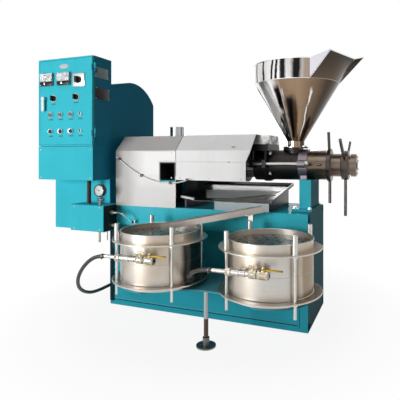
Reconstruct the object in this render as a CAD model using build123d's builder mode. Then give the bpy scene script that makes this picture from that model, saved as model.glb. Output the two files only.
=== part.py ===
"""Screw oil press with two filter drums, in millimetres.

The frame stands on the floor: origin under the middle of the base, +X along the machine
towards the adjuster, +Y to the back, +Z up.
"""
from build123d import *
import math
import os

os.makedirs("parts", exist_ok=True)

# Base
BASE_LENGTH, BASE_DEPTH, BASE_HEIGHT = 1350, 510, 670
TUBE, TUBE_WALL = 50, 4
SHEET, DECK = 3, 6
RECESS_LOW, RECESS_HIGH = 300, BASE_HEIGHT - 129
SILL = 22
CORNER_PLATE = 122
ANCHOR_X, ANCHOR_Y, ANCHOR_R = 1200, 460, 9
FRONT = -BASE_DEPTH / 2
FRONT_SKIN = FRONT - SHEET
LEFT_END, RIGHT_END = -BASE_LENGTH / 2, BASE_LENGTH / 2
DECK_UNDER = BASE_HEIGHT - DECK

# Press axis and running clearances
AXIS_RISE = 272
AXIS_Z = BASE_HEIGHT + AXIS_RISE
RUN = 0.05
SOFT_GAP = 0.3
WELD = 0.2

# Filter drums and their table
DRUM_Y = -538.4
DRUM_X = {"left": -104.6, "right": 537.6}
DRUM_R, DRUM_WALL, FLANGE_R, FLANGE_T = 219, 3, 263.4, 6
TABLE_TOP, TABLE_T, TABLE_LOBE_R, TABLE_EDGE = 300, 8, 222, -640
DRUM_TOP, LOWER_FLANGE, UPPER_FLANGE = 589.7, 328.2, 545.7
ROD_CIRCLE_R, ROD_R, ROD_HOLE_R, ROD_BOTTOM = 240, 7, 8, 252
SLEEVE_R, SLEEVE_H, ROD_DIP = 13, 88, 8
NUT_R, NUT_H = 12, 11
SCREEN_Z, SCREEN_T, SCREEN_HOLE_R = 560, 2, 9
DRUM_FLOOR_Z = 340
ELBOW_ANGLE, ELBOW_REACH, DRUM_ELBOW_Z = -17, 245, 356
LEG_X, LEG_Y, LEG_R = 204, -594, 12
FOOT_R, FOOT_T, FOOT_SOCKET = 52, 8, 40

# Drain pipes
PIPE_Y, PIPE_R, PIPE_BORE_R = -797, 13, 9
PIPE_STEPS = {
    "left": dict(nozzle=-13.4, under_flange=67.7, tail=162, wing=55, valve=53, end=27),
    "right": dict(nozzle=-59.6, under_flange=80.7, tail=145, wing=57, valve=48, end=29),
}
PIPES = {}
for side, step in PIPE_STEPS.items():
    nozzle_x = DRUM_X[side] + step["nozzle"]
    wing_x = nozzle_x + step["wing"]
    valve_x = wing_x + step["valve"]
    PIPES[side] = dict(z=UPPER_FLANGE - step["under_flange"], tail=nozzle_x - step["tail"], end=valve_x + step["end"],
                       wing=wing_x, valve=valve_x, nozzle=nozzle_x)
TAIL_R, TAIL_LENGTH, UNION_LENGTH, UNION_R, NOZZLE_R = 9, 70, 24, 19, 9.5
VALVE_BODY_R, VALVE_BODY_LENGTH, STEM_R, STEM_H = 20, 50, 5, 22
LEVER_LENGTH, LEVER_WIDTH, LEVER_T = 92, 15, 4
WING_SPAN, WING_T = 44, 7

# Belt hood, cabinet and drive
HOOD_LEFT, HOOD_RIGHT, HOOD_BACK, HOOD_BOTTOM = -1153, -677, 272, BASE_HEIGHT - 181
HOOD_CREST_Y, HOOD_CREST_Z = -47, AXIS_Z + 586
HOOD_FRONT_TOP, HOOD_BACK_TOP = HOOD_CREST_Z - 47, HOOD_CREST_Z - 132
STAND_TUBE, STAND_PLATE_Z, STAND_PLATE_T = 40, AXIS_Z + 238, 10
MOTOR_HEIGHT, MOTOR_R, MOTOR_LEFT, MOTOR_RIGHT = 132, 112, -1125, -800
FIN_H, FIN_T = 12, 5
MOTOR_SHAFT_R = 19
PULLEY_LEFT, PULLEY_RIGHT = -780, -705
MOTOR_PULLEY_R, DRIVEN_PULLEY_R = 60, 180
BELT_COUNT, BELT_PITCH, BELT_WIDTH, BELT_T, GROOVE_DEPTH = 3, 22, 13, 8, 10
CAB_LEFT, CAB_RIGHT, CAB_FRONT, CAB_BACK = -1119, -667, -437, -256
CAB_BOTTOM, CAB_HEIGHT, COVER_HEIGHT, DOOR_T, CAB_SHEET = BASE_HEIGHT + 171, 800, 221, 20, 2
CAB_TOP, DOOR_BOTTOM = CAB_BOTTOM + CAB_HEIGHT, CAB_BOTTOM + COVER_HEIGHT

# Gearbox
BOX_LEFT, BOX_RIGHT, BOX_WALL, BOX_FOOT = -600, -365, 12, 20
MODULE, PINION_TEETH, GEAR_TEETH = 4, 16, 52
BACKLASH = 0.42
INPUT_R, OUTPUT_R, LAY_R = 20, 30, 20
STAGE_ONE, STAGE_TWO, WEB_LEFT, WEB_RIGHT = (-566, -532), (-476, -420), -520, -500
SOCKET_R, SOCKET_LEFT, SOCKET_RIGHT, SPLINE_R = 45, -356, -300, 24

# Press body
CHAMBER_LEFT, CHAMBER_RIGHT, CHAMBER_R, CHAMBER_BORE_R = -290, -160, 118, 86
OUTLET_LEFT, OUTLET_RIGHT, OUTLET_LOW, OUTLET_HIGH = -276, -164, AXIS_Z - 106, AXIS_Z + 16
BAR_COUNT, BAR_INNER_R, BAR_WIDTH, BAR_DEPTH = 20, 66, 19.5, 16
CAGE_LEFT, CAGE_RIGHT = -159, 290
CLAMP_R, CLAMP_T, CLAMP_PLACES = 112, 20, (-135, -20, 95, 210)
RAIL_REACH, RAIL_T = 128, 16
BLOCK_RIGHT, BLOCK_TOP, BLOCK_R, EAR_T = 400, AXIS_Z + 185, 98, 22
ROOF_LOW, ROOF_SLANT, ROOF_WIDTH, STUD_Y, STUD_R = BLOCK_TOP - 97, 23, 200, 124, 10
FEED_RIGHT, FEED_R, FEED_BORE_R = 578, 94, 67
TIE_Y, TIE_RISE, TIE_R = 140, 8, 11
HOUSING_RIGHT, HOUSING_R = 632, 98
TUBE_RIGHT, TUBE_R, SLEEVE_TUBE_R = 770, 90, 69
LOCK_LEFT, LOCK_RIGHT, LOCK_R = 746, 769, 100
ADJ_LEFT, ADJ_RIGHT, ADJ_R = 830, 872, 88
CAP_LEFT, CAP_RIGHT, CAP_R = 885, 917, 68
HAND_BAR_R, LOCK_BAR_R = 9, 9
ADJ_TRAVEL = 8
COLUMN_LEFT, COLUMN_RIGHT, COLUMN_FRONT, COLUMN_BACK, COLUMN_TOP = RIGHT_END - 80, RIGHT_END - 9, -125, 135, AXIS_Z - 87

# Hopper
HOPPER_X, NECK_R, NECK_HEIGHT, CONE_HEIGHT, BAND_HEIGHT = 544.7, 53, 39, 352.6, 115.4
NECK_LOW = AXIS_Z + 109
NECK_HIGH = NECK_LOW + NECK_HEIGHT
RIM_R, RIM_Z, HOPPER_SHEET = 265.3, NECK_HIGH + CONE_HEIGHT, 2.5
BAND_TOP = RIM_Z + BAND_HEIGHT
LIP_START, LIP_END, LIP_OUT, LIP_RISE, LIP_TAPER = -60, 20, 135, 140, 46
LIP_EAR = (52.6, 19.2, 11)

# Guards
GUARD_FRONT, GUARD_TOP, SHOULDER_DROP = -275, AXIS_Z + 188, 98
GUARD_SHOULDER, GUARD_TOP_HALF = GUARD_TOP - SHOULDER_DROP, -GUARD_FRONT - SHOULDER_DROP
LEFT_GUARD_START, GUARD_SPLIT, RIGHT_GUARD_END = -615, -161, 309
APRON_LOW, LID_SEAM, LID_END = AXIS_Z - 94.5, AXIS_Z + 20, 340
VENT_X, VENT_R, VENT_TOP = -304, 50, GUARD_TOP + 70
HINGE_R, HINGE_PIN_R, HINGE_LENGTH = 5, 2.5, 40

# Pump box, tray and gutter
PUMP_LEFT, PUMP_RIGHT, PUMP_FRONT, PUMP_LOW, PUMP_TOP = -885, -620, -395, BASE_HEIGHT - 163, BASE_HEIGHT + 9
GAUGE_X, GAUGE_Y, GAUGE_Z, GAUGE_R = -670, -360, PUMP_TOP + 94, 40
CONDUIT_X, CONDUIT_Y, CONDUIT_R = -777, -345, 10
TRAY_LEFT, TRAY_RIGHT, TRAY_BACK, TRAY_LOW = -155, 475, 235, BASE_HEIGHT + 42
GUTTER_LOW_END, GUTTER_HIGH_END = (-115, -525, 612), (420, -300, 712)
GUTTER_WIDTH, GUTTER_HEIGHT, GUTTER_SHEET, GUTTER_BRACKET_X = 64, 34, 2, 335


def block(x0, x1, y0, y1, z0, z1, mode=Mode.ADD):
    """Rectangular block between two corners."""
    with Locations(((x0 + x1) / 2, (y0 + y1) / 2, (z0 + z1) / 2)):
        Box(x1 - x0, y1 - y0, z1 - z0, mode=mode)


def along_x(x0, x1, radius, bore=0, y=0, z=AXIS_Z, mode=Mode.ADD):
    """Round bar or tube parallel to X."""
    with BuildSketch(Plane.YZ.offset(x0)) as face:
        with Locations((y, z)):
            Circle(radius)
            if bore:
                Circle(bore, mode=Mode.SUBTRACT)
    extrude(face.sketch, amount=x1 - x0, mode=mode)


def along_y(y0, y1, radius, x, z, bore=0, mode=Mode.ADD):
    """Round bar or tube parallel to Y."""
    with BuildSketch(Plane.XZ.offset(-y1)) as face:
        with Locations((x, z)):
            Circle(radius)
            if bore:
                Circle(bore, mode=Mode.SUBTRACT)
    extrude(face.sketch, amount=y1 - y0, mode=mode)


def along_z(z0, z1, radius, x, y, bore=0, mode=Mode.ADD):
    """Round bar or tube parallel to Z."""
    with BuildSketch(Plane.XY.offset(z0)) as face:
        with Locations((x, y)):
            Circle(radius)
            if bore:
                Circle(bore, mode=Mode.SUBTRACT)
    extrude(face.sketch, amount=z1 - z0, mode=mode)


def square_tube(start, end, width):
    """Hollow square tube between two points on one row axis."""
    direction = Vector(*end) - Vector(*start)
    with BuildSketch(Plane(origin=start, z_dir=direction)) as face:
        Rectangle(width, width)
        Rectangle(width - 2 * TUBE_WALL, width - 2 * TUBE_WALL, mode=Mode.SUBTRACT)
    extrude(face.sketch, amount=direction.length)


# Base frame: posts and rails of square tube
post_x = RIGHT_END - TUBE / 2
post_y = BASE_DEPTH / 2 - TUBE / 2
rail_top = DECK_UNDER - TUBE / 2
with BuildPart() as base_frame:
    for side_x in (-post_x, post_x):
        for side_y in (-post_y, post_y):
            square_tube((side_x, side_y, TUBE + WELD), (side_x, side_y, DECK_UNDER - TUBE - WELD), TUBE)
        for height in (TUBE / 2, rail_top):
            reach = post_y - TUBE / 2 - WELD
            square_tube((side_x, -reach, height), (side_x, reach, height), TUBE)
    for side_y in (-post_y, post_y):
        for height in (TUBE / 2, rail_top):
            square_tube((LEFT_END, side_y, height), (RIGHT_END, side_y, height), TUBE)
    for height in (RECESS_LOW - TUBE / 2, RECESS_HIGH + TUBE / 2):
        reach = post_x - TUBE / 2 - WELD
        square_tube((-reach, -post_y, height), (reach, -post_y, height), TUBE)
    with Locations((0, 0, TUBE / 2)):
        with GridLocations(ANCHOR_X, ANCHOR_Y, 2, 2):
            Cylinder(ANCHOR_R, TUBE, mode=Mode.SUBTRACT)

# Base panels: deck, floor pan, front, back and ends
bay_x, bay_y = post_x - TUBE / 2, post_y - TUBE / 2
with BuildPart() as base_panels:
    block(LEFT_END, RIGHT_END, FRONT_SKIN, -FRONT, DECK_UNDER, BASE_HEIGHT)
    block(-bay_x, bay_x, -bay_y, bay_y, 0, SHEET)
    block(LEFT_END, RIGHT_END - CORNER_PLATE, FRONT_SKIN, FRONT, RECESS_HIGH, DECK_UNDER - WELD)
    block(RIGHT_END - CORNER_PLATE + WELD, RIGHT_END, FRONT_SKIN, FRONT, RECESS_HIGH + TUBE, DECK_UNDER - WELD)
    block(-bay_x, bay_x, FRONT_SKIN, FRONT, SILL, RECESS_LOW)
    block(-bay_x, bay_x, FRONT + TUBE, FRONT + TUBE + SHEET, RECESS_LOW - TUBE, RECESS_HIGH + TUBE)
    block(-bay_x, bay_x, -FRONT - SHEET, -FRONT, TUBE, DECK_UNDER - TUBE)
    for end_x in (LEFT_END, RIGHT_END - SHEET):
        block(end_x, end_x + SHEET, -bay_y, bay_y, TUBE, DECK_UNDER - TUBE)

# Drum table: waisted plate on a wall angle and a threaded leg
drum_mid_x = (DRUM_X["left"] + DRUM_X["right"]) / 2
with BuildPart() as drum_table:
    with BuildSketch(Plane.XY.offset(TABLE_TOP - TABLE_T)):
        for centre_x in DRUM_X.values():
            with Locations((centre_x, DRUM_Y)):
                Circle(TABLE_LOBE_R)
        with Locations((drum_mid_x, (FRONT_SKIN + TABLE_EDGE) / 2)):
            Rectangle(DRUM_X["right"] - DRUM_X["left"], FRONT_SKIN - TABLE_EDGE)
        with Locations((drum_mid_x, TABLE_EDGE - 380)):
            Circle(400, mode=Mode.SUBTRACT)
        for centre_x in DRUM_X.values():
            with Locations((centre_x, DRUM_Y)):
                with PolarLocations(ROD_CIRCLE_R, 4, start_angle=45):
                    Circle(SLEEVE_R + 2, mode=Mode.SUBTRACT)
    extrude(amount=TABLE_T)
    block(DRUM_X["left"], DRUM_X["right"], FRONT_SKIN - 6, FRONT_SKIN, TABLE_TOP - 60, TABLE_TOP - TABLE_T - WELD)
    along_z(FOOT_T + FOOT_SOCKET / 2, TABLE_TOP - TABLE_T - WELD, LEG_R, LEG_X, LEG_Y)

# Screw foot of the table leg: disc with a socket round the leg's end
with BuildPart() as table_foot:
    along_z(0, FOOT_T, FOOT_R, LEG_X, LEG_Y)
    along_z(FOOT_T, FOOT_T + FOOT_SOCKET, LEG_R + 6, LEG_X, LEG_Y, bore=LEG_R + RUN)


def make_drum(side):
    """Filter drum: pot with a floor and a lower flange, and the loose clamp ring."""
    centre_x = DRUM_X[side]
    inner = DRUM_R - DRUM_WALL
    nozzle = PIPES[side]["nozzle"]
    with BuildPart() as drum:
        with BuildSketch(Plane.XZ.offset(-DRUM_Y)):
            with BuildLine():
                Polyline(
                    (centre_x, DRUM_FLOOR_Z - DRUM_WALL), (centre_x + inner, DRUM_FLOOR_Z - DRUM_WALL),
                    (centre_x + inner, TABLE_TOP), (centre_x + DRUM_R, TABLE_TOP),
                    (centre_x + DRUM_R, LOWER_FLANGE - FLANGE_T), (centre_x + FLANGE_R, LOWER_FLANGE - FLANGE_T),
                    (centre_x + FLANGE_R, LOWER_FLANGE), (centre_x + DRUM_R, LOWER_FLANGE),
                    (centre_x + DRUM_R, DRUM_TOP - 4), (centre_x + DRUM_R + 4, DRUM_TOP - 4),
                    (centre_x + DRUM_R + 4, DRUM_TOP), (centre_x + inner, DRUM_TOP),
                    (centre_x + inner, SCREEN_Z), (centre_x + inner - 12, SCREEN_Z),
                    (centre_x + inner - 12, SCREEN_Z - 3), (centre_x + inner, SCREEN_Z - 3),
                    (centre_x + inner, DRUM_FLOOR_Z), (centre_x, DRUM_FLOOR_Z), close=True)
            make_face()
        revolve(axis=Axis((centre_x, DRUM_Y, 0), (0, 0, 1)))
        along_y(DRUM_Y - DRUM_R - 2, DRUM_Y - inner + 20, NOZZLE_R + RUN, nozzle, PIPES[side]["z"],
                mode=Mode.SUBTRACT)
        with Locations((centre_x, DRUM_Y, LOWER_FLANGE - FLANGE_T / 2)):
            with PolarLocations(ROD_CIRCLE_R, 4, start_angle=45):
                Cylinder(ROD_HOLE_R, FLANGE_T, mode=Mode.SUBTRACT)
        with BuildSketch(Plane.XY.offset(UPPER_FLANGE - FLANGE_T)):
            with Locations((centre_x, DRUM_Y)):
                Circle(FLANGE_R)
                Circle(DRUM_R + SOFT_GAP, mode=Mode.SUBTRACT)
                with PolarLocations(ROD_CIRCLE_R, 4, start_angle=45):
                    Circle(ROD_HOLE_R, mode=Mode.SUBTRACT)
        extrude(amount=FLANGE_T)
        if side == "left":
            turn = math.radians(ELBOW_ANGLE)
            way = Vector(math.cos(turn), math.sin(turn), 0)
            root = Vector(centre_x, DRUM_Y, DRUM_ELBOW_Z) + way * (inner + 1)
            with BuildSketch(Plane(origin=root, z_dir=way)):
                Circle(9)
            extrude(amount=ELBOW_REACH - inner - 1)
            with Locations((centre_x + way.X * ELBOW_REACH, DRUM_Y + way.Y * ELBOW_REACH, DRUM_ELBOW_Z)):
                Sphere(9)
    return drum


drum_left = make_drum("left")
drum_right = make_drum("right")

# Perforated screens on the ledges of the drums
with BuildPart() as drum_screens:
    with BuildSketch(Plane.XY.offset(SCREEN_Z)):
        for centre_x in DRUM_X.values():
            with Locations((centre_x, DRUM_Y)):
                Circle(DRUM_R - DRUM_WALL - SOFT_GAP)
                for ring_r, count in ((55, 6), (110, 12), (165, 18)):
                    with PolarLocations(ring_r, count):
                        RegularPolygon(SCREEN_HOLE_R, 6, mode=Mode.SUBTRACT)
    extrude(amount=SCREEN_T)

# Tie rods of the drums with nuts and long sleeve nuts
with BuildPart() as drum_rods:
    for centre_x in DRUM_X.values():
        with Locations((centre_x, DRUM_Y)):
            rod_places = PolarLocations(ROD_CIRCLE_R, 4, start_angle=45).locations
        for place in rod_places:
            rod_x, rod_y = place.position.X, place.position.Y
            along_z(ROD_BOTTOM, UPPER_FLANGE + SLEEVE_H - ROD_DIP, ROD_R, rod_x, rod_y)
            along_z(UPPER_FLANGE, UPPER_FLANGE + SLEEVE_H, SLEEVE_R, rod_x, rod_y)
            along_z(UPPER_FLANGE + SLEEVE_H - ROD_DIP, UPPER_FLANGE + SLEEVE_H, ROD_R, rod_x, rod_y,
                    mode=Mode.SUBTRACT)
            for under in (LOWER_FLANGE, UPPER_FLANGE):
                with BuildSketch(Plane.XY.offset(under - FLANGE_T - NUT_H)):
                    with Locations((rod_x, rod_y)):
                        RegularPolygon(NUT_R, 6)
                extrude(amount=NUT_H)


def make_pipe(side):
    """Drain pipe in front of a drum: hose tail, union, nozzle, two valves and the open end."""
    run = PIPES[side]
    union_x = run["tail"] + TAIL_LENGTH
    with BuildPart() as pipe:
        along_x(run["tail"], union_x, TAIL_R, y=PIPE_Y, z=run["z"])
        along_x(union_x, union_x + UNION_LENGTH, UNION_R, y=PIPE_Y, z=run["z"])
        along_x(union_x + UNION_LENGTH, run["end"], PIPE_R, y=PIPE_Y, z=run["z"])
        wall_y = DRUM_Y - math.sqrt(DRUM_R ** 2 - (run["nozzle"] - DRUM_X[side]) ** 2)
        along_y(PIPE_Y, wall_y + DRUM_WALL + 2, NOZZLE_R, run["nozzle"], run["z"])
        for valve_x in (run["wing"], run["valve"]):
            half = VALVE_BODY_LENGTH / 2 if valve_x == run["valve"] else VALVE_BODY_LENGTH / 3
            along_x(valve_x - half, min(valve_x + half, run["end"]), VALVE_BODY_R, y=PIPE_Y, z=run["z"])
            along_z(run["z"], run["z"] + STEM_H, 9, valve_x, PIPE_Y)
        along_x(run["tail"], run["end"], PIPE_BORE_R - 3, y=PIPE_Y, z=run["z"], mode=Mode.SUBTRACT)
        along_x(run["end"] - 22, run["end"], PIPE_BORE_R, y=PIPE_Y, z=run["z"], mode=Mode.SUBTRACT)
    return pipe


valve_pipe_left = make_pipe("left")
valve_pipe_right = make_pipe("right")


def make_lever(side):
    """Ball-valve lever: hub on the stem and a flat arm with an upturned tip."""
    run = PIPES[side]
    low = run["z"] + STEM_H + SOFT_GAP
    with BuildPart() as lever:
        along_z(low, low + LEVER_T + 5, 8, run["valve"], PIPE_Y)
        block(run["valve"], run["valve"] + LEVER_LENGTH, PIPE_Y - LEVER_WIDTH / 2, PIPE_Y + LEVER_WIDTH / 2,
              low, low + LEVER_T)
        fillet(lever.edges().filter_by(Axis.Z).sort_by(Axis.X)[-2:], LEVER_WIDTH / 2 - 1)
    return lever


def make_wing(side):
    """Wing handle: hub with two flat ears."""
    run = PIPES[side]
    low = run["z"] + STEM_H + SOFT_GAP
    with BuildPart() as wing:
        along_z(low, low + 14, 7, run["wing"], PIPE_Y)
        with BuildSketch(Plane.XZ.offset(-PIPE_Y - WING_T / 2)):
            with Locations((run["wing"], low + 12)):
                SlotOverall(WING_SPAN, 14)
        extrude(amount=WING_T)
    return wing


lever_left = make_lever("left")
lever_right = make_lever("right")
wing_left = make_wing("left")
wing_right = make_wing("right")

# Hoses: straight runs joined by tangent arcs
HOSE_R, CLEAR_HOSE_R = 10, 6
LEFT_SPIGOT = (-606, 160)
CLEAR_SPIGOT = (-470, 566)
CLEAR_START = (-569, -330, 629)
SPIGOT_REACH = 40
HOSE_LEFT_ROUTE = [
    (PIPES["left"]["tail"] - 0.5, PIPE_Y, PIPES["left"]["z"]), (-330, -797, 473.5), (-388, -792, 443),
    (-446, -775, 394), (-501, -745, 337), (-545, -703, 280), (-578, -650, 230), (-597, -588, 190),
    (-607, -518, 164), (-611, -440, 155), (LEFT_SPIGOT[0], -362, LEFT_SPIGOT[1]),
    (LEFT_SPIGOT[0], FRONT_SKIN - SPIGOT_REACH, LEFT_SPIGOT[1])]
DRUM_ELBOW = (DRUM_X["left"] + ELBOW_REACH * math.cos(math.radians(ELBOW_ANGLE)),
              DRUM_Y + ELBOW_REACH * math.sin(math.radians(ELBOW_ANGLE)), DRUM_ELBOW_Z)
HOSE_RIGHT_ROUTE = [
    (PIPES["right"]["tail"] - 0.5, PIPE_Y, PIPES["right"]["z"]), (290, -797, 463), (245, -785, 450), (209, -759, 431), (181, -722, 410),
    (158, -676, 388), (144, -638, 372), (DRUM_ELBOW[0] + 4, DRUM_ELBOW[1] - 8, DRUM_ELBOW[2] + 5)]
HOSE_CLEAR_ROUTE = [
    CLEAR_START, (-548, -331, 630), (-522, -328, 622), (-500, -322, 604), (-483, -311, 583),
    (-471, -292, 569), (CLEAR_SPIGOT[0], FRONT_SKIN - 14, CLEAR_SPIGOT[1])]


def corner_radii(route):
    """Radius of the arc at each corner: 0.45 of its shorter run over the tangent of half the turn."""
    points = [Vector(*point) for point in route]
    radii = []
    for before, corner, after in zip(points, points[1:], points[2:]):
        run_in, run_out = corner - before, after - corner
        half_turn = math.radians(run_in.get_angle(run_out) / 2)
        radii.append(0.45 * min(run_in.length, run_out.length) / math.tan(half_turn))
    return radii


def make_tube(name, route, radius):
    """Round tube along a route of straight runs and tangent arcs."""
    radii = corner_radii(route)
    with BuildPart() as tube:
        with BuildLine() as path:
            FilletPolyline(*route, radius=radii)
        with BuildSketch(Plane(origin=path.line @ 0, z_dir=path.line % 0)):
            Circle(radius)
        sweep(path=path.line)
    length = path.wires()[0].length
    share = tube.part.volume / (math.pi * radius ** 2 * length)
    print(f"{name}: length {length:.0f}, smallest radius {min(radii):.0f}, volume share {share:.4f}")
    return tube


hose_left = make_tube("hose_left", HOSE_LEFT_ROUTE, HOSE_R)
hose_right = make_tube("hose_right", HOSE_RIGHT_ROUTE, HOSE_R)
hose_clear = make_tube("hose_clear", HOSE_CLEAR_ROUTE, CLEAR_HOSE_R)

# Pump box: sheet housing on a mounting strip, with a cooling grille in its front
with BuildPart() as pump_box:
    block(PUMP_LEFT, PUMP_RIGHT, PUMP_FRONT, FRONT_SKIN, PUMP_LOW, PUMP_TOP)
    fillet(pump_box.edges().filter_by(Axis.X).group_by(Axis.Y)[0], 6)
    block(PUMP_LEFT + 8, HOOD_RIGHT, FRONT_SKIN, FRONT, PUMP_LOW + 8, PUMP_TOP - 8)

# Vacuum gauge: case with bezel, stem and valve block on the pump box
with BuildPart() as vacuum_gauge:
    along_y(GAUGE_Y - 14, GAUGE_Y + 14, GAUGE_R - 2, GAUGE_X, GAUGE_Z)
    along_y(GAUGE_Y - 17, GAUGE_Y - 9, GAUGE_R, GAUGE_X, GAUGE_Z, bore=GAUGE_R - 6)
    along_z(PUMP_TOP, GAUGE_Z - GAUGE_R + 6, 7, GAUGE_X, GAUGE_Y)
    with BuildSketch(Plane.XY.offset(PUMP_TOP)):
        with Locations((GAUGE_X, GAUGE_Y)):
            RegularPolygon(13, 6)
    extrude(amount=12)
    along_x(GAUGE_X - 24, GAUGE_X + 24, 8, y=GAUGE_Y, z=PUMP_TOP + 34)

# Fittings of the pump box and hose spigots of the base, with the cabinet's conduit
with BuildPart() as pump_fittings:
    along_x(PUMP_RIGHT, CLEAR_START[0] - 1, 8, y=CLEAR_START[1], z=CLEAR_START[2])
    along_x(PUMP_RIGHT + 4, PUMP_RIGHT + 22, 14, y=CLEAR_START[1], z=CLEAR_START[2])
    along_x(PUMP_RIGHT, PUMP_RIGHT + 36, 11, y=-330, z=PUMP_LOW + 40)
    along_z(PUMP_LOW - 74, PUMP_LOW, 8, -687, -350)
    along_z(PUMP_LOW - 60, PUMP_LOW, 4, -632, -340)
    along_z(PUMP_TOP, CAB_BOTTOM, CONDUIT_R, CONDUIT_X, CONDUIT_Y)
    along_y(FRONT_SKIN - SPIGOT_REACH, FRONT_SKIN, HOSE_R - 1, *LEFT_SPIGOT)
    along_y(FRONT_SKIN - 10, FRONT_SKIN, HOSE_R + 6, *LEFT_SPIGOT)
    along_y(FRONT_SKIN - 12, FRONT_SKIN, CLEAR_HOSE_R + 4, *CLEAR_SPIGOT)

# Drive stand: cantilever rails, posts, motor plate and tension screw
TENSION_X, TENSION_R = PULLEY_LEFT + 58, 8
TENSION_Z = STAND_PLATE_Z + STAND_PLATE_T + 14
stand_low = HOOD_BOTTOM + SHEET + WELD
stand_rail_z = stand_low + TUBE / 2
with BuildPart() as drive_stand:
    block(HOOD_LEFT + SHEET, HOOD_RIGHT + 2, FRONT + SHEET, HOOD_BACK - SHEET, HOOD_BOTTOM, stand_low - WELD)
    for side_y in (-180, 180):
        square_tube((HOOD_LEFT + 10, side_y, stand_rail_z), (LEFT_END, side_y, stand_rail_z), TUBE)
        for side_x in (MOTOR_LEFT + 10, MOTOR_RIGHT - 30):
            square_tube((side_x, side_y, stand_low + TUBE + WELD), (side_x, side_y, STAND_PLATE_Z - WELD), STAND_TUBE)
    block(MOTOR_LEFT - 12, MOTOR_RIGHT, -205, 245, STAND_PLATE_Z, STAND_PLATE_Z + STAND_PLATE_T)
    block(MOTOR_RIGHT, TENSION_X + 16, 215, 245, STAND_PLATE_Z, STAND_PLATE_Z + STAND_PLATE_T)
    block(TENSION_X - 16, TENSION_X + 16, 215, 245, STAND_PLATE_Z, TENSION_Z + 15)
    along_y(240, HOOD_BACK + 40, TENSION_R, TENSION_X, TENSION_Z)
    along_y(HOOD_BACK + 0.5, HOOD_BACK + 16, TENSION_R + 6, TENSION_X, TENSION_Z)


def hood_outline(inset):
    """Closed outline of the hood's section: straight front and back under a curved crown."""
    crest = (HOOD_CREST_Y, HOOD_CREST_Z - inset)
    back_top = (HOOD_BACK - inset, HOOD_BACK_TOP - inset)
    front_top = (FRONT + inset, HOOD_FRONT_TOP - inset)
    low = HOOD_BOTTOM - (1 if inset else 0)
    with BuildSketch(Plane.YZ.offset(HOOD_LEFT), mode=Mode.PRIVATE) as outline:
        with BuildLine():
            Polyline(back_top, (HOOD_BACK - inset, low), (FRONT + inset, low), front_top, crest)
            ThreePointArc(crest, (142, HOOD_CREST_Z - 25 - inset), back_top)
        make_face()
    return outline.sketch


# Belt hood: rolled wrapper, inner wall with its shaft hole, and the end cover
with BuildPart() as belt_hood:
    extrude(hood_outline(0), amount=HOOD_RIGHT - HOOD_LEFT)
    extrude(hood_outline(SHEET), amount=HOOD_RIGHT - HOOD_LEFT - SHEET, mode=Mode.SUBTRACT)
    along_x(HOOD_RIGHT - SHEET - 1, HOOD_RIGHT, 45, mode=Mode.SUBTRACT)
    block(HOOD_RIGHT - SHEET - 1, HOOD_RIGHT, FRONT - 1, HOOD_BACK - SHEET, HOOD_BOTTOM - 1, HOOD_BOTTOM + 64,
          mode=Mode.SUBTRACT)
    along_y(HOOD_BACK - SHEET - 1, HOOD_BACK + 1, TENSION_R + 2, TENSION_X, TENSION_Z, mode=Mode.SUBTRACT)
    extrude(hood_outline(SHEET), amount=SHEET)

# Motor: finned body, end shields, feet, terminal box and fan cowl
motor_z = STAND_PLATE_Z + STAND_PLATE_T + MOTOR_HEIGHT
with BuildPart() as motor:
    along_x(MOTOR_LEFT + 55, MOTOR_RIGHT - 20, MOTOR_R, z=motor_z)
    with BuildSketch(Plane.YZ.offset(MOTOR_LEFT + 70)):
        with Locations((0, motor_z)):
            with PolarLocations(MOTOR_R + FIN_H / 2 - 2, 24):
                Rectangle(FIN_H + 4, FIN_T)
    extrude(amount=MOTOR_RIGHT - MOTOR_LEFT - 105)
    along_x(MOTOR_LEFT, MOTOR_LEFT + 55, MOTOR_R + 8, z=motor_z)
    along_x(MOTOR_RIGHT - 20, MOTOR_RIGHT, MOTOR_R - 22, z=motor_z)
    for foot_x in (MOTOR_LEFT + 80, MOTOR_RIGHT - 90):
        block(foot_x, foot_x + 40, -108, 108, motor_z - MOTOR_HEIGHT, motor_z - MOTOR_HEIGHT + 14)
        for foot_y in (-75, 75):
            block(foot_x, foot_x + 40, foot_y - 14, foot_y + 14, motor_z - MOTOR_HEIGHT, motor_z - 60)
    block(MOTOR_LEFT + 90, MOTOR_LEFT + 190, -50, 50, motor_z + MOTOR_R - 20, motor_z + MOTOR_R + 42)
    along_x(MOTOR_RIGHT - 40, MOTOR_RIGHT, MOTOR_SHAFT_R + RUN, z=motor_z, mode=Mode.SUBTRACT)


def groove_belts(centre_z, radius):
    """Cut the belt grooves into a pulley rim."""
    middle = (PULLEY_LEFT + PULLEY_RIGHT) / 2
    for index in range(BELT_COUNT):
        start = middle + (index - (BELT_COUNT - 1) / 2) * BELT_PITCH - BELT_WIDTH / 2 - SOFT_GAP
        along_x(start, start + BELT_WIDTH + 2 * SOFT_GAP, radius + 1, bore=radius - GROOVE_DEPTH, z=centre_z,
                mode=Mode.SUBTRACT)


# Motor pulley on its shaft end
with BuildPart() as motor_pulley:
    along_x(MOTOR_RIGHT - 39, PULLEY_RIGHT + 5, MOTOR_SHAFT_R, z=motor_z)
    along_x(PULLEY_LEFT, PULLEY_RIGHT, MOTOR_PULLEY_R, z=motor_z)
    groove_belts(motor_z, MOTOR_PULLEY_R)

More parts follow.
